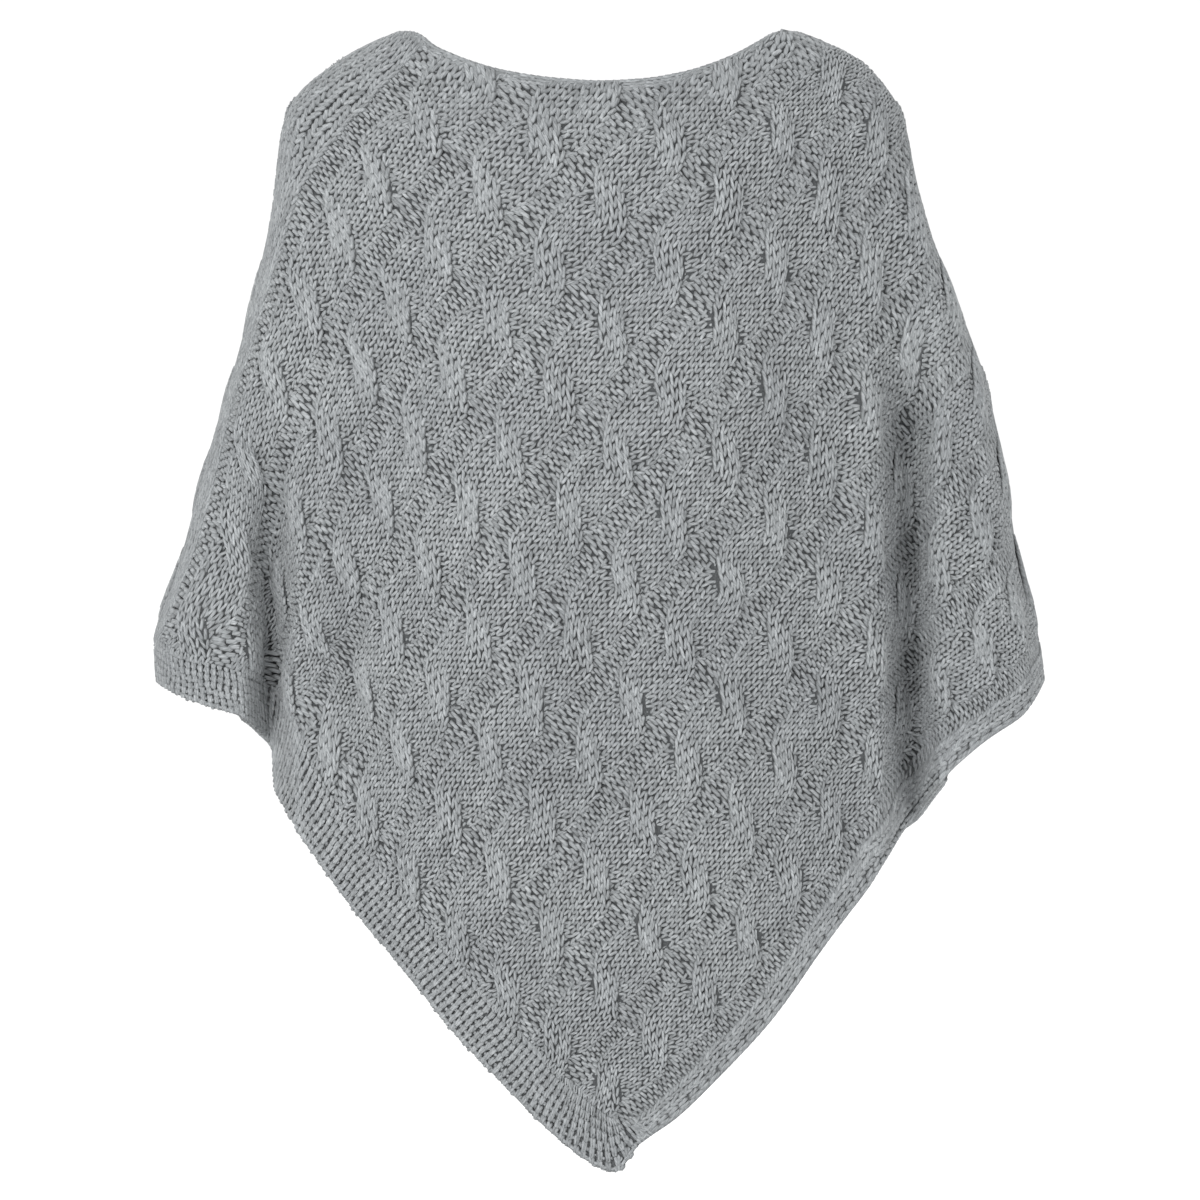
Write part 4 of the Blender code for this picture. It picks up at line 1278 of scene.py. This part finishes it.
def reverse_material(name):
    """The inside, where the knit shows its reverse: rows of purl bumps, with the gutters as plain wales."""
    material, tree, shader = nodes_of(name)
    x, y, _ = separate(tree, attribute(tree, "knit").outputs["Vector"])
    turn = 2 * math.pi
    weave = math_node(tree, "MULTIPLY", math_node(tree, "COSINE", math_node(tree, "MULTIPLY", x, turn)), 0.24)
    row = math_node(tree, "SINE", math_node(tree, "MULTIPLY", math_node(tree, "ADD", y, weave), turn))
    other = math_node(tree, "SINE", math_node(tree, "MULTIPLY", math_node(tree, "SUBTRACT", y, weave), turn))
    bumps = math_node(tree, "MAXIMUM", row, math_node(tree, "MULTIPLY", other, 0.8))
    height = math_node(tree, "MULTIPLY", math_node(tree, "ADD", bumps, 1.0), 0.5)
    place = tree.nodes.new("ShaderNodeTexCoord").outputs["Object"]
    fibre = noise(tree, place, 1400.0, 2.0, 0.6)
    mixed = math_node(tree, "ADD", math_node(tree, "MULTIPLY", height, 0.72), math_node(tree, "MULTIPLY", fibre, 0.28))
    # The colour follows the bumps' height, near black in the hollows between them as painted shade, with fibre noise as
    # the yarn's own tone.
    tree.links.new(
        ramp(tree, mixed, [(0.12, (0.05, 0.054, 0.056)), (0.45, (0.22, 0.23, 0.236)), (0.9, (0.42, 0.435, 0.44))]),
        shader.inputs["Base Color"],
    )
    shader.inputs["Roughness"].default_value = 0.93
    shader.inputs["Specular IOR Level"].default_value = 0.15
    shader.inputs["Sheen Weight"].default_value = 0.2
    shader.inputs["Sheen Roughness"].default_value = 0.55
    bump = tree.nodes.new("ShaderNodeBump")
    bump.inputs["Strength"].default_value = 0.9
    bump.inputs["Distance"].default_value = 0.0016
    tree.links.new(mixed, bump.inputs["Height"])
    tree.links.new(bump.outputs["Normal"], shader.inputs["Normal"])
    return material


# ---------------------------------------------------------------------------------------------------------------
# Making it all
# ---------------------------------------------------------------------------------------------------------------

FRONT_FOLDS = FRONT_FOLDS + FRONT_CREASES
BACK_FOLDS = BACK_FOLDS + BACK_CREASES

cable_yarn = yarn_material("cable_yarn")
edge_yarn = yarn_material("edge_yarn", 1.0)
# The backings are coloured far darker than the yarn, painted shade for the gaps' depth, a little lighter under the
# hems' stitches.
painted_shade_between_stitches = painted_gap_shade_material("painted_shade_between_stitches")
painted_shade_between_hem_stitches = painted_gap_shade_material("painted_shade_between_hem_stitches", (0.105, 0.111, 0.115), (0.165, 0.173, 0.178))
inside = reverse_material("inside")

STRIPS = [(-50, -20), (-20, 10), (10, 40), (40, 60)]
total = 0
for is_back in (False, True):
    side = Side(is_back)
    word = "back" if is_back else "front"
    ring = KEEL if is_back else ROUND
    last = len(side.a) - 1
    mats = (painted_shade_between_stitches, inside)
    hem_mats = (painted_shade_between_hem_stitches, inside)
    low, end = side.low, side.low + HEM_ROWS
    panel = backing(side, f"{word}_panel_cloth", f"{word}_panel", (side.top, low), (0, last), (2, 2), mats, True)
    fade = np.linspace(0, 1, side.top + 1)[:, None]
    neck = backing(side, f"{word}_neck_edge", f"{word}_neck_band", (0, side.top), (0, last), (3, 2), mats, True, fade=fade)
    first, second = ("plain_hem", "rib_hem") if is_back else ("rib_hem", "plain_hem")
    hems = {}
    for word_hem, cols in ((first, (0, side.tip)), (second, (side.tip, last))):
        name = f"{word}_{word_hem}"
        knitted = word_hem == "plain_hem"
        hems[word_hem] = backing(side, f"{name}_cloth", name, (low, end), cols, (2, 2), hem_mats, knitted, -0.6)
    on_panel = []
    for i, (x_from, x_to) in enumerate(STRIPS):
        yarn = Yarn(ring)
        knit_stitches(side, yarn, x_from, x_to)
        on_panel.append(yarn.piece(f"{word}_cables_{i + 1}", cable_yarn))
    yarn = Yarn(ring)
    purl_rows(side, yarn, -40, 70)
    on_panel.append(yarn.piece(f"{word}_gutters", cable_yarn))
    yarn = Yarn(ring)
    seam_cord(side, yarn)
    on_panel.append(yarn.piece(f"{word}_seam_stitches", cable_yarn))
    yarn = Yarn(ring)
    rib_band(side, yarn)
    rib_stitches = yarn.piece(f"{word}_rib_stitches", edge_yarn)
    yarn = Yarn(ring)
    knit_stitches(side, yarn, 60, 70)
    plain_band(side, yarn)
    plain_stitches = yarn.piece(f"{word}_plain_stitches", edge_yarn)
    yarn = Yarn(ring)
    neck_band(side, yarn)
    neck_stitches = yarn.piece(f"{word}_neck_stitches", edge_yarn)
    pieces = on_panel + [rib_stitches, plain_stitches, neck_stitches]
    for piece in pieces:
        count = len(piece.data.polygons)
        print(piece.name, count)
        total += count
    total += sum(len(o.data.polygons) for o in (panel, neck, *hems.values()))
    shoulders = [f"{word}_neck_band"]
print("triangles in all:", total)

# ---------------------------------------------------------------------------------------------------------------
# Floor and light
# ---------------------------------------------------------------------------------------------------------------

FLOOR_Z = -0.95
profile = [(-6.0, FLOOR_Z), (3.0, FLOOR_Z)]
profile += [(3.0 + 1.6 * math.sin(t), FLOOR_Z + 1.6 - 1.6 * math.cos(t)) for t in np.linspace(0.1, math.pi / 2, 14)]
profile += [(4.6, 5.0)]
verts, faces = [], []
for y, z in profile:
    verts += [(-7.0, y, z), (7.0, y, z)]
for i in range(len(profile) - 1):
    faces.append((2 * i, 2 * i + 1, 2 * i + 3, 2 * i + 2))
floor_mesh = bpy.data.meshes.new("floor")
floor_mesh.from_pydata(verts, [], faces)
floor_mesh.shade_smooth()
floor = bpy.data.objects.new("floor", floor_mesh)
bpy.context.scene.collection.objects.link(floor)
paper, paper_tree, paper_shader = nodes_of("paper")
paper_shader.inputs["Base Color"].default_value = (0.90, 0.90, 0.90, 1.0)
paper_shader.inputs["Roughness"].default_value = 0.9
paper_shader.inputs["Specular IOR Level"].default_value = 0.1
floor_mesh.materials.append(paper)

world = bpy.data.worlds.new("studio")
bpy.context.scene.world = world
world.use_nodes = True
world.node_tree.nodes["Background"].inputs["Color"].default_value = (1.0, 1.0, 1.0, 1.0)
world.node_tree.nodes["Background"].inputs["Strength"].default_value = 0.97


def lamp(name, at, aim, size, power):
    data = bpy.data.lights.new(name, "AREA")
    data.shape, data.size, data.energy = "DISK", size, power
    made = bpy.data.objects.new(name, data)
    made.location = at
    way = np.array(aim) - np.array(at)
    from mathutils import Vector

    made.rotation_euler = Vector(way).to_track_quat("-Z", "Y").to_euler()
    bpy.context.scene.collection.objects.link(made)


lamp("key", (-2.0, -3.2, 0.8), (0.0, 0.0, -0.4), 1.4, 75.0)
lamp("fill", (2.2, -3.4, 0.2), (0.0, 0.0, -0.4), 2.0, 25.5)
lamp("rear", (0.8, 3.0, 1.6), (0.0, 0.0, -0.4), 1.6, 40.0)

bpy.context.scene.view_settings.view_transform = "Standard"
bpy.context.scene.view_settings.look = "None"
